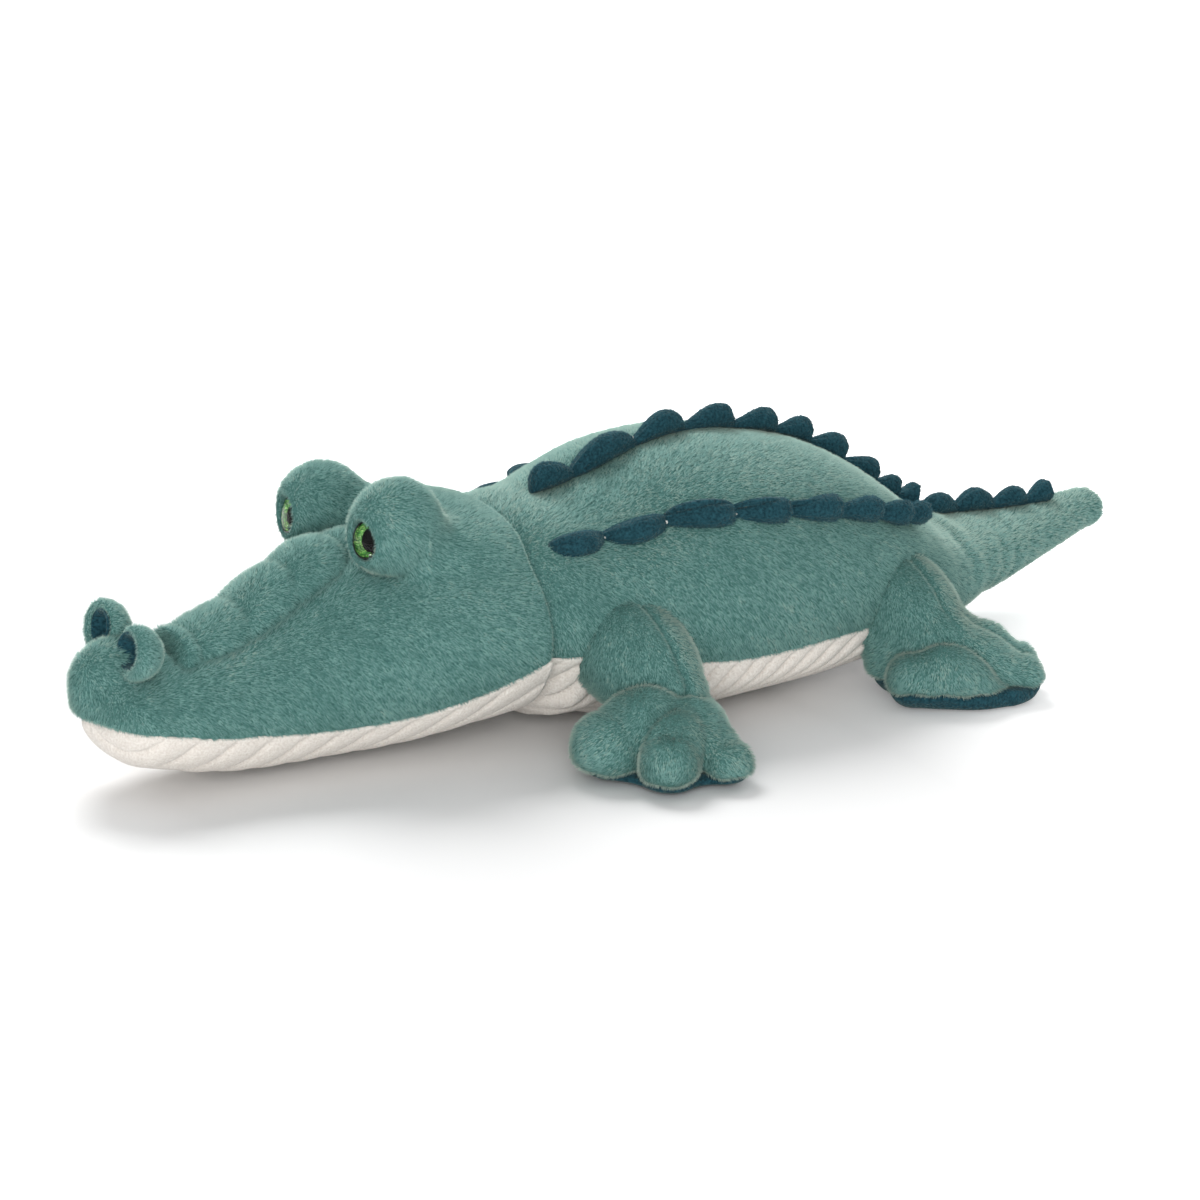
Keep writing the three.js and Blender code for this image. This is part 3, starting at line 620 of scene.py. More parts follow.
def body_distance(p):
    torso = resting_torso(p)
    tail = tail_distance(p + [0, 0, -2] * smooth_step(p[:, 1], 240, 320)[:, None])
    torso = torso - BACK_LIFT * smooth_step(p[:, 2], 62, 104) * bell(p[:, 1] - 92, 62)
    torso = torso - NAPE_LIFT * smooth_step(p[:, 2], 60, 88) * bell(p[:, 1] + 14, 26)
    far_shoulder = smooth_step(p[:, 2], 62, 104) * bell(p[:, 1] - 30, 40) * smooth_step(-p[:, 0], 0, 20)
    torso = torso - FAR_SHOULDER_LIFT * far_shoulder
    whole = smooth_min(torso, tail, 9)
    side = smooth_step(np.abs(p[:, 0]), 12, 30)
    whole = whole + 1.6 * side * bell(p[:, 1] - 216 + 0.12 * p[:, 2], 4)
    for fold_y, depth in TAIL_FOLDS:
        whole = whole + depth * side * bell(p[:, 1] - fold_y - 0.3 * p[:, 2], 2.2)
    return whole + 0.7 * body_lumps(p)


def body_field(p):
    outer = body_distance(p) + PILE_DEPTH
    border = belly_border(p[:, 1]) - p[:, 2] + OUT_OF_REACH * smooth_step(-p[:, 1], 60, 70)
    upper = smooth_max(outer, border - OUT_OF_REACH * smooth_step(p[:, 1], 190, 205), 3)
    return np.minimum(upper, torso_distance(p) + CORE_DEPTH)


body_mesh = skin(body_field, (-84, -70, 2), (84, 332, 114), PITCH["body"])
add_piece("body_skin", body_mesh, TEAL_BACKING_PAINTED_SHADE, TO_TAIL, "plush", ("torso", "tail"))


# Belly and chin: ribbed white panels

def ribs(pitch, along, form, seam, slope, depth):
    """How deep the grooves between slanted ribs lie at a point round a form."""
    def height(p):
        share = (p[:, 1] - form.start) / (form.end - form.start)
        half, middle, top, bottom, _ = form.section(share)
        rise = p[:, 2] - middle
        angle = np.arctan2(-rise / np.where(rise > 0, top, bottom), p[:, 0] / half)
        arc = angle * (half + bottom) / 2
        place = (p[:, 1] + slope * arc) / pitch
        t = place - np.floor(place)
        edge = np.minimum(t, 1 - t) * along
        below = 0.15 + 0.85 * smooth_step(seam(p[:, 1]) - p[:, 2], -0.5, 4)
        below = below * (0.2 + 0.8 * smooth_step(np.abs(p[:, 1] + 30), 0, 9))
        return below * (depth * (0.6 * bell(edge, 1.1) + 0.6 * np.abs(2 * t - 1) ** 2.2) - 0.3)
    return height


belly_ribs = ribs(10.8, 8.9, torso_form, belly_border, 0.7, 2.1)
chin_ribs = ribs(17.0, 13.5, head_form, mouth_border, 0.62, 2.1)


def underside(distance, seam, groove, extra):
    """Field of a ribbed panel under a form, up to its seam and cut by an extra field."""
    def field(p):
        outer = distance(p) + 1.5 + 3.5 * smooth_step(-p[:, 1], 186, 206)
        panel = smooth_max(outer, p[:, 2] - seam(p[:, 1]) - 1.5, 2)
        panel = np.maximum(panel + groove(p), -(outer + 6))
        panel = smooth_max(panel, 0.5 - p[:, 2], 2)
        return np.maximum(panel, extra(p))
    return field


def belly_end(p):
    """Past the panel's rear end, or inside the tail."""
    return np.maximum(-(tail_distance(p) - 0.4), p[:, 1] - 194)


def neck_seat(p):
    """Past the head's rounded rim, or inside the torso's end that the head sits over."""
    return smooth_max(p[:, 1] + RIM_LAP, 0.6 - torso_distance(p), 2)


belly_field = underside(resting_torso, belly_border, belly_ribs, belly_end)
chin_field = underside(head_distance, mouth_border, chin_ribs, neck_seat)
for part, way, field, low, high in (
        ("belly", TO_TAIL, belly_field, (-82, -66, -1), (82, 216, 48)),
        ("chin", TO_HEAD, chin_field, (-66, -214, 0), (66, -26, 46))):
    mesh = skin(field, low, high, PITCH[part])
    add_piece(f"{part}_ribbing", mesh, RIBBED, way, "ribbed_plush", (f"{part}_panel",))


# Head: cheeks, brow mounds and the gathered strip along the snout

eye_place = BROW_PLACE + heading(EYE_OUTWARD_DEGREES) * BROW_SIZES[1] * EYE_DEPTH_SHARE
eye_place = eye_place + [-3.5, 2.4, -2.8]
eye_ahead = heading(EYE_TURN_DEGREES, EYE_LIFT_DEGREES)
HEAD_ROLL, POCKET_RADIUS = 1.2, 8.4
head_lumps = lumps(2, 35, 90)
brow_distance = ellipsoid(BROW_PLACE + [1, -4, 0.4], np.array([18, 20.5, 20]))
nose_distance = ellipsoid(np.array([-2.5, -192, 47]), np.array([15.5, 21.5, 19]))

STRIP_CREASES = np.array([-176.5, -164.6, -144.0, -121.9, -97.0, -78.0])
STRIP_RISES = [[-178, -3], [-170, 7], [-153, 8.5], [-133, 11], [-112, 11.5], [-100, 7.5], [-88, 3], [-78, -2]]
STRIP_HALF_WIDTH, STRIP_SUNK = 20.5, 7


def strip_distance(p):
    """The gathered strip along the snout: plump segments between the creases that cross it."""
    y = p[:, 1]
    i = np.clip(np.searchsorted(STRIP_CREASES, y) - 1, 0, len(STRIP_CREASES) - 2)
    t = np.clip((y - STRIP_CREASES[i]) / (STRIP_CREASES[i + 1] - STRIP_CREASES[i]), 0, 1)
    puff = np.sqrt(4 * t * (1 - t) + 0.01)
    _, middle, top, _, _ = head_form.section((-RIM_LAP - y) / (HEAD_LENGTH - RIM_LAP))
    rise = np.interp(y, *np.array(STRIP_RISES).T) - 2.6 * (1 - puff)
    half = STRIP_HALF_WIDTH * (0.94 + 0.06 * puff) * (1 - 0.25 * smooth_step(y, -104, -84))
    height = rise + STRIP_SUNK
    above = (p[:, 2] - (middle + top) + STRIP_SUNK) / height
    past = np.maximum(STRIP_CREASES[0] - y, 0) / 8
    return (np.sqrt((p[:, 0] / half) ** 2 + above ** 2 + past ** 2) - 1) * np.minimum(half, height)


def eye_axis(p):
    """Distance from the eye's own line, and how far ahead of the eye's back, on the side of the point."""
    q = folded(p) - [0, 0, 1] * (HEAD_ROLL * np.sign(p[:, 0]))[:, None] - eye_place
    along = q @ eye_ahead
    return np.linalg.norm(q - along[:, None] * eye_ahead, axis=1), along


def head_distance_dressed(p):
    """The head with its nose ball, snout strip, brow mounds and eyelids."""
    q = folded(p)
    head = head_distance(p) + 0.6 * head_lumps(p)
    head = smooth_min(head, nose_distance(p) + 0.4 * head_lumps(p), 8)
    head = head - 6.5 * smooth_step(p[:, 2], 74, 94) * smooth_step(p[:, 1], -88, -58)
    head = creased(head, measured(strip_distance)(p), 1.2, 1.3)
    raised = q - [0, 0, 1] * (2 * HEAD_ROLL * np.sign(p[:, 0]) * smooth_step(p[:, 2], 80, 96))[:, None]
    mound = brow_distance(raised) + 0.6 * head_lumps(p * 1.6)
    sharp = smooth_step(-q[:, 1], 74, 92)
    whole = smooth_min(head, mound, 15 - 13 * sharp) + 1.3 * sharp * bell(head - mound, 1.6)
    radius, along = eye_axis(p)
    lid = np.hypot(np.maximum(radius - 8.5, 0), np.maximum(np.abs(along + 3) - 3, 0)) - 3.2
    return smooth_min(whole, lid, 6)


def eye_pocket(p):
    radius, along = eye_axis(p)
    return np.maximum(radius - POCKET_RADIUS, -3.8 - along)


def head_field(p):
    outer = head_distance_dressed(p) + PILE_DEPTH
    outer = smooth_max(outer, p[:, 1] + RIM_LAP, 4)
    upper = smooth_max(outer, mouth_border(p[:, 1]) - p[:, 2], 3)
    whole = np.minimum(upper, head_distance(p) + CORE_DEPTH)
    whole = smooth_max(whole, -eye_pocket(p), 1.6)
    return np.maximum(whole, neck_seat(p))


head_mesh = skin(head_field, (-68, -216, 2), (68, -27, 120), PITCH["head"])
add_piece(
    "head_skin", head_mesh, TEAL_BACKING_PAINTED_SHADE, TO_HEAD, "plush",
    ("head", "left_brow", "right_brow", "snout_bridge"))


# Nostrils: thick loops that open forward, with a dark lining

snout_share = (NOSTRIL_REACH - RIM_LAP) / (HEAD_LENGTH - RIM_LAP)
_, snout_middle, snout_height, _, _ = head_form.section(np.array([snout_share]))
snout_top = (snout_middle + snout_height)[0]
nostril_place = np.array([NOSTRIL_SPACING / 2, -NOSTRIL_REACH, snout_top + NOSTRIL_LIFT])
nostril_place = nostril_place + [-1.2, -0.5, 0.4]
NOSTRIL_ROLL, NOSTRIL_TURN_DEGREES, NOSTRIL_TILT_DEGREES = -2.0, -10, 12
nostril_ahead = heading(NOSTRIL_TURN_DEGREES, NOSTRIL_TILT_DEGREES)
nostril_side = level_across(heading(NOSTRIL_TURN_DEGREES))
nostril_axes = np.stack([nostril_side, -nostril_ahead, np.cross(nostril_side, -nostril_ahead)], 1)


def turned(form, centre):
    return lambda p: form((p - centre) @ nostril_axes)


nostril_outer = turned(ellipsoid(np.zeros(3), np.array([12.8, 11.6, 12.0])), nostril_place)
nostril_inner = turned(ellipsoid(np.array([-0.8, -6.4, 0.2]), np.array([9.0, 11.4, 8.4])), nostril_place)


def nostril_front(p):
    """Past the plane that the loop's front edge lies in, leaning back on its outer side."""
    q = (p - nostril_place) @ nostril_axes
    return -4.6 - q[:, 1] + 0.25 * q[:, 0]


def nostril_field(p, rise):
    hood = smooth_max(smooth_max(nostril_outer(p) + 1.5, nostril_front(p), 4), -(nostril_inner(p) + 0.6), 3)
    return np.maximum(hood, -(head_distance_dressed(p + rise) + 2.6))


def lining_field(p, rise):
    shell = np.maximum(nostril_inner(p) + 0.35, -(nostril_inner(p) + 1.5))
    shell = smooth_max(shell, nostril_front(p) + 2, 0.5)
    return np.maximum(shell, -(head_distance_dressed(p + rise) + 2.6))


NOSTRIL_REACH_AROUND = 16


def nostril_mesh(field, sign, pitch):
    """A nostril's mesh, mirrored and raised or lowered for its own side."""
    rise = np.array([0, 0, sign * NOSTRIL_ROLL])
    low, high = nostril_place - NOSTRIL_REACH_AROUND, nostril_place + NOSTRIL_REACH_AROUND
    points, quads = skin(lambda p: field(p, rise), low, high, pitch)
    return on_side(sign, (points + rise, quads))


# Legs and paws

def paw_part(start, turn, length, widths, heights):
    """A toe or a palm: a stuffed form that lies on the floor and points where it is turned to."""
    ahead = heading(turn)
    across = level_across(ahead)
    rows = [[width, height, -SOLE_CUT, PAW_SQUARENESS] for width, height in zip(widths, heights)]
    form = Form(0, length, rows, widths[0], widths[-1])
    return measured(lambda p: form(np.stack([(p - start) @ across, (p - start) @ ahead, p[:, 2]], 1)))


def tube(points, radii):
    """Field of a round tube along points, with a radius at each."""
    def distance(p):
        best = np.full(len(p), 1e3)
        for a, b, ra, rb in zip(points, points[1:], radii, radii[1:]):
            step = b - a
            t = np.clip((p - a) @ step / (step @ step), 0, 1)
            best = np.minimum(best, np.linalg.norm(p - a - t[:, None] * step, axis=1) - ra - t * (rb - ra))
        return best
    return distance


def leg_parts(hip, ankle, radius, palm_turn, palm_widths, palm_heights, toe_shapes, rim, apart, seed):
    """Fields of a left leg with its paw, and of the sole under it."""
    foot = ankle + (hip - ankle) * 0.22 + [0, 2.5, 0]
    bend = np.array([(hip[0] + foot[0]) / 2, hip[1] + 1.5, hip[2]])
    t = np.linspace(0, 1, 14)[:, None]
    spine = (1 - t) ** 2 * hip + 2 * t * (1 - t) * bend + t ** 2 * foot
    thigh = tube(spine, radius * rows_at([[1], [1.02], [.95], [.8]], t[:, 0])[:, 0])
    heel = ankle - heading(palm_turn) * PALM_LENGTH / 2
    palm = paw_part(heel, palm_turn, PALM_LENGTH, palm_widths, palm_heights)
    toes = [paw_part(ankle + [*start, 0], turn, *shape) for start, turn, *shape in toe_shapes]
    uneven = lumps(seed, 18, 50)

    def paw(p):
        lobes = creased(creased(toes[0](p), toes[1](p), 1.2, 2.8, 2), toes[2](p), 1.2, 2.8, 2)
        return smooth_min(lobes, palm(p), 5)

    def whole(p):
        shank = thigh(p) + 2.2 * bell(p[:, 1] - hip[1] - SEAM_SHIFT, 1.5) * smooth_step(p[:, 2], 24, 32)
        if apart == "paw":
            fade = 1 - 0.7 * smooth_step(p[:, 1] - hip[1] - SEAM_SHIFT, 0, 5)
            joined, foot = shank, paw(p)
        else:
            fade = 1
            joined = smooth_min(shank, smooth_min(creased(toes[1](p), toes[2](p), 1.2, 2), palm(p), 6), 9)
            foot = toes[0](p)
        return smooth_min(joined, foot, 1.6) + 2.1 * fade * bell(joined - foot, 1.7) + 0.5 * uneven(p)

    def border(p):
        return rim + 0.9 * np.sin(p[:, 0] * 0.35 + seed) * np.cos(p[:, 1] * 0.3)

    def upper(p):
        outer = smooth_max(whole(p) + PILE_DEPTH, border(p) - p[:, 2], 3)
        return np.maximum(outer, -(torso_distance(p) + 2.6))

    def sole(p):
        pad = smooth_min(smooth_min(toes[0](p), toes[1](p), 16), smooth_min(toes[2](p), palm(p), 12), 14)
        pad = pad + 2.2 + 0.25 * np.maximum(p[:, 2] - 3, 0)
        pad = np.minimum(pad, paw(p) + 2.2)
        return smooth_max(smooth_max(pad, p[:, 2] - border(p) + 0.3, 3), 0.5 - p[:, 2], 1.5)

    return upper, sole


# Hip, ankle, radius, the palm's turn, widths and heights, for each toe its start from the ankle, turn,
# length, widths and heights, the height at which the plush ends, and what stands apart from the leg.
LEGS = {
    "front": (
        np.array([46.07, 6.36, 41.0]), np.array([94.07, 6.36, 21.0]), 24,
        50, [19, 22, 22, 18], [27, 31, 33, 29], [
            [(0, -2), -1, 30, [14, 17, 18, 17], [34, 37, 35, 29]],
            [(2, -2), 50, 32, [12, 13, 14, 13.5], [32, 31, 29, 25]],
            [(3, 3), 89, 29, [13, 13, 13, 11.5], [28, 27, 24, 19]]], 5, "paw"),
    "rear": (
        np.array([48.27, 149.46, 36.0]), np.array([86.27, 149.46, 20.5]), 25,
        118, [14, 16, 15, 12], [30, 32, 29, 22], [
            [(6, -17), 149, 41, [13, 15, 15, 12, 5], [26, 30, 29, 23, 13]],
            [(3, 5), 139, 32, [15, 15, 14, 11], [36, 33, 29, 21]],
            [(-2, 14), 152, 28, [13, 13, 13, 10], [34, 33, 30, 22]]], 8.3, "toe")}
SEAM_SHIFT = 3


def leg_comb(p, ankle):
    """Down along the leg, and away from the ankle over the paw."""
    out = p - ankle
    spread = smooth_step(p[:, 2], 34, 22)[:, None]
    down = np.stack([0.75 + 0 * out[:, 0], 0.15 * np.sign(out[:, 1]), -1 + 0 * out[:, 0]], 1)
    toes = np.stack([out[:, 0], out[:, 1], -12 + 0 * out[:, 0]], 1) / 20
    return down * (1 - spread) + toes * spread


def leg_keep(p):
    return (torso_distance(p) > -1.5) & (p[:, 2] > 4)


def add_legs(end, seed):
    hip, ankle = LEGS[end][:2]
    upper, sole = leg_parts(*LEGS[end], seed)
    low, high = (hip[0] - 6, ankle[1] - 52, 0), (ankle[0] + 52, ankle[1] + 58, 66)
    leg_mesh = skin(upper, low, high, PITCH["leg"])
    sole_mesh = skin(sole, low, (high[0], high[1], 12), PITCH["sole"])
    seam_y, hip_y = hip[1] + SEAM_SHIFT, (hip[1] + NECK_Y) / 1000

    def reach(p):
        return 2.5 - 1.7 * bell(p[:, 1] - seam_y, 1.8) * smooth_step(p[:, 2], 24, 32)

    # Painted light: paler pile tones on faces that turn up, behind the leg's seam where the sheen from behind
    # shows, and low on the leg and paw that face the front light.
    def painted_light(p, n):
        behind = smooth_step(p[:, 1] - seam_y, 0, 4) * smooth_step(p[:, 2], 22, 34)
        return 0.1 * n[:, 2] - 0.03 + 0.34 * behind + 0.16 * smooth_step(-p[:, 2], -30, -18)

    for side, sign in SIDES:
        name, flip = f"{end}_{side}", np.array([sign, 1, 1])
        body = f"{name}_leg_body"
        way = ("torso_body", body, (sign * 0.058, hip_y, 0.056), (sign * 0.078, hip_y, 0.034))
        mesh = on_side(sign, leg_mesh)
        add_piece(f"{name}_leg_skin", mesh, TEAL_BACKING_PAINTED_SHADE, way, "plush", (f"{name}_leg", f"{name}_paw"))
        add_pile(
            f"{name}_pile", mesh, way, "plush", lambda p, n: leg_comb(p * flip, ankle) * flip, TEAL_TONES,
            seed + 20 + sign, 2.8, reach, keep=leg_keep, painted_light=painted_light)
        pad = on_side(sign, sole_mesh)
        add_piece(f"{name}_sole_pad", pad, DARK_SKIN, body, "dark_plush", (f"{name}_sole",))


add_legs("front", 3)
add_legs("rear", 4)


# Ridges: gathered strips, each bump slim in front and full behind

def bump_profile(u, petal):
    """Fullness along a bump, from one pinch to the next: a leaf at 0, a petal with a full rear at 1."""
    leaf = 0.3 + 0.7 * np.sin(math.pi * np.clip(u, 0, 1) ** 1.15) ** 0.75
    rise = 0.24 + 0.76 * smooth_step(u, -0.06, 0.72)
    fall = np.sqrt(np.clip(1 - np.clip((u - 0.76) / 0.24, 0, 1) ** 2.6, 0, 1))
    return np.maximum(leaf * (1 - petal) + rise * fall * petal, 0.3)


def strip(form, distance, line, height, seed, flat=0, aside=0, thin=1, petals=0, sides=44, steps=34):
    """Closed tube along a line on a form, pinched at the ends of its bumps and folded near the pinches.

    The first bumps lean outward by flat radians. The knots are places near the tops of the pinches.
    """
    rng = np.random.default_rng(seed)
    line = np.array(line, float)
    bumps = len(line) - 1
    front = np.linspace(0, 0.7, steps * 2 // 3, endpoint=False)
    rear = 1 - 0.3 * np.linspace(1, 0, steps // 2) ** 1.6
    u = np.concatenate([front, rear])[:-1]
    t = (np.arange(bumps)[:, None] + u).ravel()
    t = np.append(t, bumps)
    phase = np.append(np.tile(u, bumps), 1)
    which = np.minimum(t.astype(int), bumps - 1)

    def place_of(at):
        return form.surface(*rows_at(line, at / bumps).T)

    foot = place_of(t)
    depth, slope = slope_of(distance, foot)
    foot = foot - slope * depth[:, None]
    ahead = place_of(t + 0.02) - place_of(np.maximum(t - 0.02, 0))
    ahead /= np.linalg.norm(ahead, axis=1)[:, None]
    _, out = slope_of(distance, foot)
    out -= ahead * (out * ahead).sum(1)[:, None]
    out /= np.linalg.norm(out, axis=1)[:, None]
    across = np.cross(ahead, out)
    lean = (flat * (1 - 0.75 * smooth_step(t, 1.5, 5)))[:, None]
    out, across = out * np.cos(lean) + across * np.sin(lean), across * np.cos(lean) - out * np.sin(lean)
    full = bump_profile(phase, petals * smooth_step(which, 0.5, 3.5))
    full *= np.sqrt(np.clip(1.02 - (1 - np.clip(t / 0.3, 0, 1)) ** 2, 0, 1))
    full[-1] = 0.1
    size = (0.93 + 0.14 * rng.random(bumps))[which]
    tall = height * size * full
    thick = thin * RIDGE_HALF_THICKNESS * (0.18 + 0.86 * full) * size
    around = np.linspace(0, 2 * math.pi, sides, endpoint=False)
    fold = rng.uniform(0, 2 * math.pi, (bumps, 3))[which]
    turns = around[None, :]
    gather = (
        np.sin(6 * turns + fold[:, :1]) + 0.8 * np.sin(11 * turns + fold[:, 1:2] + 3 * phase[:, None])
        + 0.7 * np.sin(17 * turns + fold[:, 2:]))
    from_pinch = np.minimum(phase, 1.6 * (1 - phase))
    creases = 1 + 0.075 * gather * (1 - 0.8 * smooth_step(from_pinch, 0.1, 0.5))[:, None]
    wander = 0.5 * np.sin(t * 2.1 + seed)
    rise = np.sin(around)[None, :] * creases * tall[:, None] / 2 + (tall / 2 - 0.8)[:, None]
    sway = np.cos(around)[None, :] * creases * thick[:, None] + (wander * full + aside)[:, None]
    points = foot[:, None] + across[:, None] * sway[..., None] + out[:, None] * rise[..., None]
    points = points.reshape(-1, 3)
    depth, slope = slope_of(distance, points)
    sunk = np.clip(-PILE_DEPTH - depth, 0, None)
    points = points + slope * sunk[:, None]
    knots = foot[phase == 0][1:] + (out[phase == 0] * tall[phase == 0, None] * 0.9)[1:]
    rings = len(t)
    i = np.arange(rings - 1)[:, None] * sides
    j = np.arange(sides)[None, :]
    following = (j + 1) % sides
    quads = np.stack([i + j, i + following, i + sides + following, i + sides + j], -1).reshape(-1, 4)
    first, last = points[:sides].mean(0), points[-sides:].mean(0)
    points = np.vstack([points, first, last])
    j, following = j.ravel(), following.ravel()
    cap = np.stack([following, j, np.full(sides, rings * sides)], 1)
    outermost = (rings - 1) * sides
    end = np.stack([outermost + j, outermost + following, np.full(sides, rings * sides + 1)], 1)
    triangles = facing_out(points, np.concatenate([triangles_of(quads), cap, end]))
    return points, triangles, knots


def ridge_comb(p, n):
    return np.tile([0.0, 1.0, -0.2], (len(p), 1))


def beads(places, seed):
    """Small uneven knots of thread."""
    rng = np.random.default_rng(seed)
    around = np.linspace(0, 2 * math.pi, 9)[:-1]
    rings = [[0.35, -0.5], [0.6, 0], [0.35, 0.5]]
    points, faces = [], []
    for place in places:
        base = 26 * len(points)
        body = [[r * math.cos(a), r * math.sin(a), z] for r, z in rings for a in around]
        ball = [[0, 0, -0.7], *body, [0, 0, 0.7]]
        points.append(place + np.array(ball) * rng.uniform(0.7, 1.3, 3) + rng.normal(0, 0.05, (26, 3)))
        for i in range(8):
            k = (i + 1) % 8
            faces.append([base, base + 1 + k, base + 1 + i])
            faces.append([base + 25, base + 17 + i, base + 17 + k])
            for ring in (1, 9):
                a, b = base + ring + i, base + ring + k
                faces += [[a, b, b + 8], [a, b + 8, a + 8]]
    return np.concatenate(points), np.array(faces)


def add_ridge(name, form, distance, line, height, way, seed, sign=1, knots=(), **shape):
    points, triangles, pinches = strip(form, distance, line, height, seed, **shape)
    mesh = on_side(sign, (points, triangles))
    add_piece(f"{name}_strip", mesh, DARK_SKIN, way, "dark_plush", (name,))
    if knots:
        thread = on_side(sign, beads(pinches[list(knots)], seed))
        add_piece(f"{name}_thread", thread, THREAD, way, "ribbed_plush")
    add_pile(
        f"{name}_nap", mesh, way, "dark_plush", ridge_comb, DARK_TONES, seed + 40, 3.4, 0.9,
        lean=0.8, width=0.14, keep=lambda p: distance(p) > 0.2)


THREAD = cloth("white_thread", colour(226, 226, 220), 0.2).material
RIDGE_DROP = {"left": 0, "right": 0.16}

add_ridge(
    "centre_ridge", torso_form, body_distance, [[share, 1] for share in CENTRE_RIDGE_SHARES], RIDGE_HEIGHT,
    TO_TAIL, 5, petals=1, knots=(1, 2, 3))
for side, sign in SIDES:
    rows = np.array(SIDE_RIDGE_SHARES) - [0, RIDGE_DROP[side]]
    add_ridge(
        f"{side}_ridge", torso_form, torso_distance, rows, RIDGE_HEIGHT + 0.5, "torso_body", 6,
        sign=sign, petals=1, flat=0.9, knots=(0, 1, 2, 4))
    folded_rows = rows_at(rows, np.linspace(2, 5, 4) / (len(rows) - 1))
    mesh = strip(
        torso_form, torso_distance, folded_rows, RIDGE_HEIGHT - 0.8, 9,
        flat=0.3, aside=-2.6, thin=0.4, petals=1)[:2]
    add_piece(f"{side}_ridge_fold", on_side(sign, mesh), DARK_SKIN, "torso_body", "dark_plush")
add_ridge(
    "tail_ridge", tail_form, tail_distance, [[share, 1] for share in TAIL_RIDGE_SHARES],
    TAIL_RIDGE_HEIGHT + 1, TO_TAIL, 8, petals=1)


# Pile of the body and of the head

def body_comb(p, n):
    back = 0.45 + 1.2 * smooth_step(p[:, 1], 190, 230)
    return np.stack([0 * back, back, -1 + 0.7 * smooth_step(p[:, 1], 190, 230)], 1)


def body_keep(p):
    lowest = belly_seam(p[:, 1]) - 1 - OUT_OF_REACH * smooth_step(p[:, 1], 186, 196)
    return (p[:, 1] > -RIM_LAP - 6) & (p[:, 2] > lowest) & (torso_distance(p) > -6)


def body_reach(p):
    edge = p[:, 2] - belly_border(p[:, 1])
    neck, rear = smooth_step(-p[:, 1], 20, 30), smooth_step(p[:, 1], 200, 300)
    return 2.5 - 1.3 * neck - 0.4 * rear - 0.9 * bell(edge, 3)


# Painted light: paler pile tones on faces that turn up and towards the tail, for the light and sheen from
# above and behind.
def body_painted_light(p, n):
    return 0.22 * smooth_step(n[:, 2], 0.35, 1) + 0.22 * smooth_step(p[:, 1], 170, 240)


add_pile(
    "body_pile", body_mesh, TO_TAIL, "plush", body_comb, TEAL_TONES, 31, 2.4, body_reach,
    keep=body_keep, painted_light=body_painted_light)


def head_comb(p, n):
    way = np.stack([0 * p[:, 0], 0.8 + 0 * p[:, 0], -0.75 + 0 * p[:, 0]], 1)
    radius, along = eye_axis(p)
    q = folded(p) - eye_place
    away = q - (q @ eye_ahead)[:, None] * eye_ahead
    away[:, 0] *= np.sign(p[:, 0])
    near = (smooth_step(12 - radius, 0, 4) * smooth_step(along, -8, -2))[:, None]
    return way * (1 - near) + (0.5 * way - 0.4 * away / 12) * near


def head_keep(p):
    radius, along = eye_axis(p)
    bare = (radius < POCKET_RADIUS - 0.2) & (along > -5)
    seen = (p[:, 1] < -RIM_LAP + 3) & (p[:, 2] > mouth_border(p[:, 1]) - 1) & (head_distance(p) > -6)
    return seen & ~bare & (torso_distance(p) > 0.8)


def head_reach(p):
    radius, along = eye_axis(p)
    edge = p[:, 2] - mouth_border(p[:, 1])
    eye = smooth_step(12 - radius, 0, 4) * smooth_step(along, -10, -3)
    return 2.5 - 1.0 * eye - 0.8 * bell(edge, 3) - 1.2 * smooth_step(p[:, 1], -38, -32)


# Painted light: paler pile tones on faces that turn up, and a little darker overall.
def head_painted_light(p, n):
    return 0.16 * smooth_step(n[:, 2], 0.4, 1) - 0.05


add_pile(
    "head_pile", head_mesh, TO_HEAD, "plush", head_comb, TEAL_TONES, 32, 3, head_reach,
    keep=head_keep, painted_light=head_painted_light)

for side, sign in SIDES:
    loop = nostril_mesh(nostril_field, sign, PITCH["nostril"])
    add_piece(f"{side}_nostril_loop", loop, TEAL_BACKING_PAINTED_SHADE, "head_body", "plush", (f"{side}_nostril",))
    add_pile(
        f"{side}_nostril_pile", loop, "head_body", "plush", head_comb, TEAL_TONES[1:], 33 + sign, 4, 1.7,
        keep=lambda p: nostril_inner(p * [sign, 1, 1] - [0, 0, sign * NOSTRIL_ROLL]) > -0.3)
    cup = nostril_mesh(lining_field, sign, PITCH["lining"])
    add_piece(
        f"{side}_nostril_cup", cup, DARK_SKIN, "head_body", "dark_plush", (f"{side}_nostril_lining",))


# Eyes: a black cup, a glittering iris that dips to the pupil, and a clear dome over them

def lathe(profile, sides=64):
    """Closed turned piece on the left eye's line, from (radius, along) points."""
    profile = np.array(profile, float)
    side = np.cross(eye_ahead, [0, 0, 1])
    side /= np.linalg.norm(side)
    up = np.cross(side, eye_ahead)
    angles = np.linspace(0, 2 * math.pi, sides, endpoint=False)
    ring = np.cos(angles)[:, None] * side + np.sin(angles)[:, None] * up
    points = [eye_place + eye_ahead * profile[0, 1], eye_place + eye_ahead * profile[-1, 1]]
    inner = profile[1:-1]
    body = eye_place + inner[:, None, 1:] * eye_ahead + inner[:, None, :1] * ring[None]
    points = np.vstack([points, body.reshape(-1, 3)])
    j = np.arange(sides)
    following = (j + 1) % sides
    faces = [np.stack([np.zeros(sides, int), 2 + j, 2 + following], 1)]
    for r in range(len(inner) - 1):
        a, b = 2 + r * sides, 2 + (r + 1) * sides
        faces.append(np.stack([a + j, b + j, b + following], 1))
        faces.append(np.stack([a + j, b + following, a + following], 1))
    end = 2 + (len(inner) - 1) * sides
    faces.append(np.stack([np.ones(sides, int), end + following, end + j], 1))
    return points, facing_out(points, np.concatenate(faces))


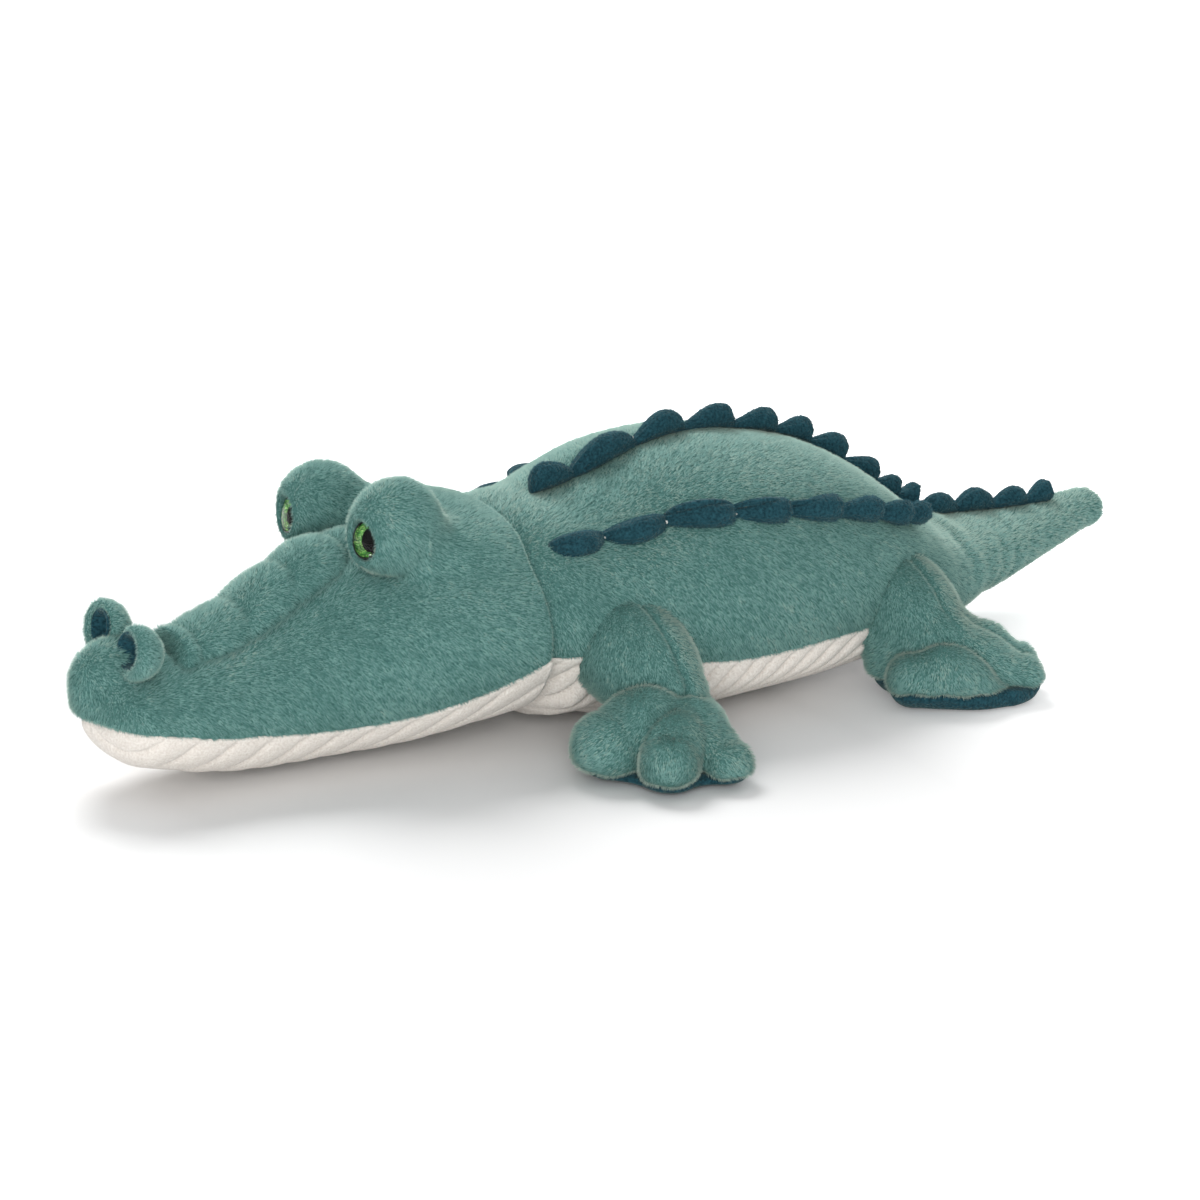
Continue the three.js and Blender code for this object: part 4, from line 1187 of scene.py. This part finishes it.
def arc(radius, base, height, start, end, steps=14):
    angles = np.linspace(math.radians(start), math.radians(end), steps)
    return [[radius * math.cos(a), base + height * math.sin(a)] for a in angles]


dome_profile = [[0, 2.6]] + arc(6.8, 0.9, 1.7, 89, 0) + [[6.8, 0.5], [6.72, 0.25], [4.4, -2.5], [0, -2.5]]
iris_profile = [[0, -2.6], [4.4, -2.6], [6.75, 0.4], [6.8, 0.2], [6.75, -0.1], [4.45, -2.95], [0, -2.95]]
pupil_profile = [[0, -2.42], [4.1, -2.42], [4.35, -2.47], [4.1, -2.56], [0, -2.56]]
cup_profile = [
    [0, -3.6], [6.9, -3.6], [7.6, -3.1], [7.8, -1.2], [7.8, 0.4], [7.65, 0.9], [7.3, 1.1], [6.95, 0.9],
    [6.86, 0.6], [6.86, -0.2], [4.5, -3.05], [0, -3.05]]


def glitter_look():
    look = Look("iris_glitter", colour(60, 140, 50), 0.35, Metallic=0.35)
    cells = look.node("ShaderNodeTexVoronoi", {"Scale": 2600}, {"Vector": look.place.outputs["Object"]})
    bright = look.node("ShaderNodeSeparateColor", links={"Color": cells.outputs["Color"]}).outputs["Red"]
    # Flake tones at random, from dark to bright green; the palest flakes are painted glints.
    look.paint(look.ramp(bright, [
        (0.0, colour(10, 48, 14)), (0.45, colour(30, 104, 28)), (0.8, colour(84, 176, 60)),
        (1.0, colour(200, 240, 140))]))
    look.bump(bright, 0.0003, 0.9)
    return look.material


def plastic_look(name, base, roughness, mark, **inputs):
    look = Look(name, base, roughness, **inputs)
    look.bump(look.noise(400, 2), 0.00004, mark)
    return look.material


IRIS = glitter_look()
PUPIL = Look("pupil_black", colour(10, 10, 12), 0.7, Specular_IOR_Level=0.05).material
BLACK = plastic_look("black_plastic", colour(12, 12, 13), 0.2, 0.3)
CLEAR = Look("clear_plastic", (1, 1, 1, 1), 0.03, Transmission_Weight=1, IOR=1.2).material
WASHER = plastic_look("white_washer", colour(214, 214, 210), 0.5, 0.5)

for side, sign in SIDES:
    for label, profile, look, slot, replaced in (
            ("eye_cup", cup_profile, BLACK, "eye_back", (f"{side}_eye_back",)),
            ("eye_iris", iris_profile, IRIS, "eye_dome", ()),
            ("eye_pupil", pupil_profile, PUPIL, "eye_back", ()),
            ("eye_lens", dome_profile, CLEAR, "eye_dome", (f"{side}_eye_dome",))):
        points, faces = on_side(sign, lathe(profile))
        mesh = (points + [0, 0, sign * HEAD_ROLL], faces)
        add_piece(f"{side}_{label}", mesh, look, "head_body", slot, replaced)
    washer = frame["nodes"][f"{side}_eye_washer"]
    washer.data.materials.clear()
    washer.data.materials.append(WASHER)


# Floor, light and camera

FLOOR_SIZE, FADE_START, FADE_END, SKY_LIGHT, WHITE = 14, 0.18, 0.55, 0.55, (1, 1, 1, 1)


def rays(tree, operation, kinds):
    """Light paths of these kinds, joined by a maths operation."""
    path = add_node(tree, "ShaderNodeLightPath")
    joined = path.outputs[kinds[0]]
    for kind in kinds[1:]:
        joined = add_node(
            tree, "ShaderNodeMath", {"operation": operation}, {0: joined, 1: path.outputs[kind]}).outputs[0]
    return joined


def painted_floor_glow(material, near, far):
    """Adds white glow for camera, glossy and transmission rays, the more the farther from the toy, so that
    the floor fades into the backdrop: painted light, which also washes out the toy's cast shadow there, the
    tail's among it.
    """
    tree = material.node_tree
    place = add_node(tree, "ShaderNodeTexCoord").outputs["Object"]
    spread = add_node(
        tree, "ShaderNodeMapping", {"Location": (-0.042, 0.13, 0), "Scale": (0.7, 1.3, 1)}, {"Vector": place})
    span = add_node(tree, "ShaderNodeVectorMath", {"operation": "LENGTH"}, {0: spread.outputs["Vector"]})
    rise = add_node(
        tree, "ShaderNodeMapRange", {"From Min": near, "From Max": far}, {"Value": span.outputs["Value"]})
    seen = rays(tree, "ADD", ("Is Camera Ray", "Is Glossy Ray", "Is Transmission Ray"))
    scale = add_node(tree, "ShaderNodeMath", {"operation": "MULTIPLY"}, {0: seen, 1: rise.outputs["Result"]})
    glow = add_node(tree, "ShaderNodeEmission", {"Color": WHITE}, {"Strength": scale.outputs[0]})
    shader = tree.nodes["Principled BSDF"]
    total = add_node(tree, "ShaderNodeAddShader", links={0: shader.outputs[0], 1: glow.outputs[0]})
    tree.links.new(total.outputs[0], tree.nodes["Material Output"].inputs["Surface"])


bpy.ops.mesh.primitive_plane_add(size=FLOOR_SIZE, location=(0, 0, 0))
floor = bpy.context.object
floor.name = "floor"
floor_look = Look("floor_white", colour(236, 236, 236), 1, Specular_IOR_Level=0).material
painted_floor_glow(floor_look, FADE_START, FADE_END)
floor.data.materials.append(floor_look)
floor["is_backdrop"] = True

world = bpy.data.worlds.new("studio")
bpy.context.scene.world = world
world.use_nodes = True
sky = world.node_tree.nodes["Background"]
sky.inputs["Color"].default_value = WHITE
sky_seen = rays(world.node_tree, "MAXIMUM", ("Is Camera Ray", "Is Transmission Ray"))
level = add_node(
    world.node_tree, "ShaderNodeMapRange", {"To Min": SKY_LIGHT, "To Max": 1}, {"Value": sky_seen})
world.node_tree.links.new(level.outputs["Result"], sky.inputs["Strength"])


def lamp(name, place, target, size, power):
    data = bpy.data.lights.new(name, "AREA")
    data.shape = "DISK"
    data.size = size
    data.energy = power
    light = bpy.data.objects.new(name, data)
    light.location = place
    light.rotation_euler = (Vector(target) - Vector(place)).to_track_quat("-Z", "Y").to_euler()
    bpy.context.scene.collection.objects.link(light)


lamp("key", (-0.95, 0.12, 1.3), (0, 0.02, 0.03), 0.9, 20)
lamp("rim", (-0.2, 1.5, 1.1), (0, 0.1, 0.05), 1.2, 6)
lamp("fill", (1.6, -1.2, 0.5), (0, 0, 0.05), 1.6, 25)

AZIMUTH_DEGREES, ELEVATION_DEGREES, CAMERA_DISTANCE, LENS, SENSOR_WIDTH = 55, 16, 1.5, 94.5, 36
target = Vector((-0.120, 0.0618, 0.0))
back = Vector(heading(AZIMUTH_DEGREES, ELEVATION_DEGREES))
camera = bpy.data.objects.new("camera", bpy.data.cameras.new("camera"))
camera.data.lens = LENS
camera.data.sensor_width = SENSOR_WIDTH
camera.location = target + back * CAMERA_DISTANCE
camera.rotation_euler = (-back).to_track_quat("-Z", "Y").to_euler()
bpy.context.scene.collection.objects.link(camera)
bpy.context.scene.camera = camera
bpy.context.scene.view_settings.view_transform = "Standard"

low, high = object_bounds()
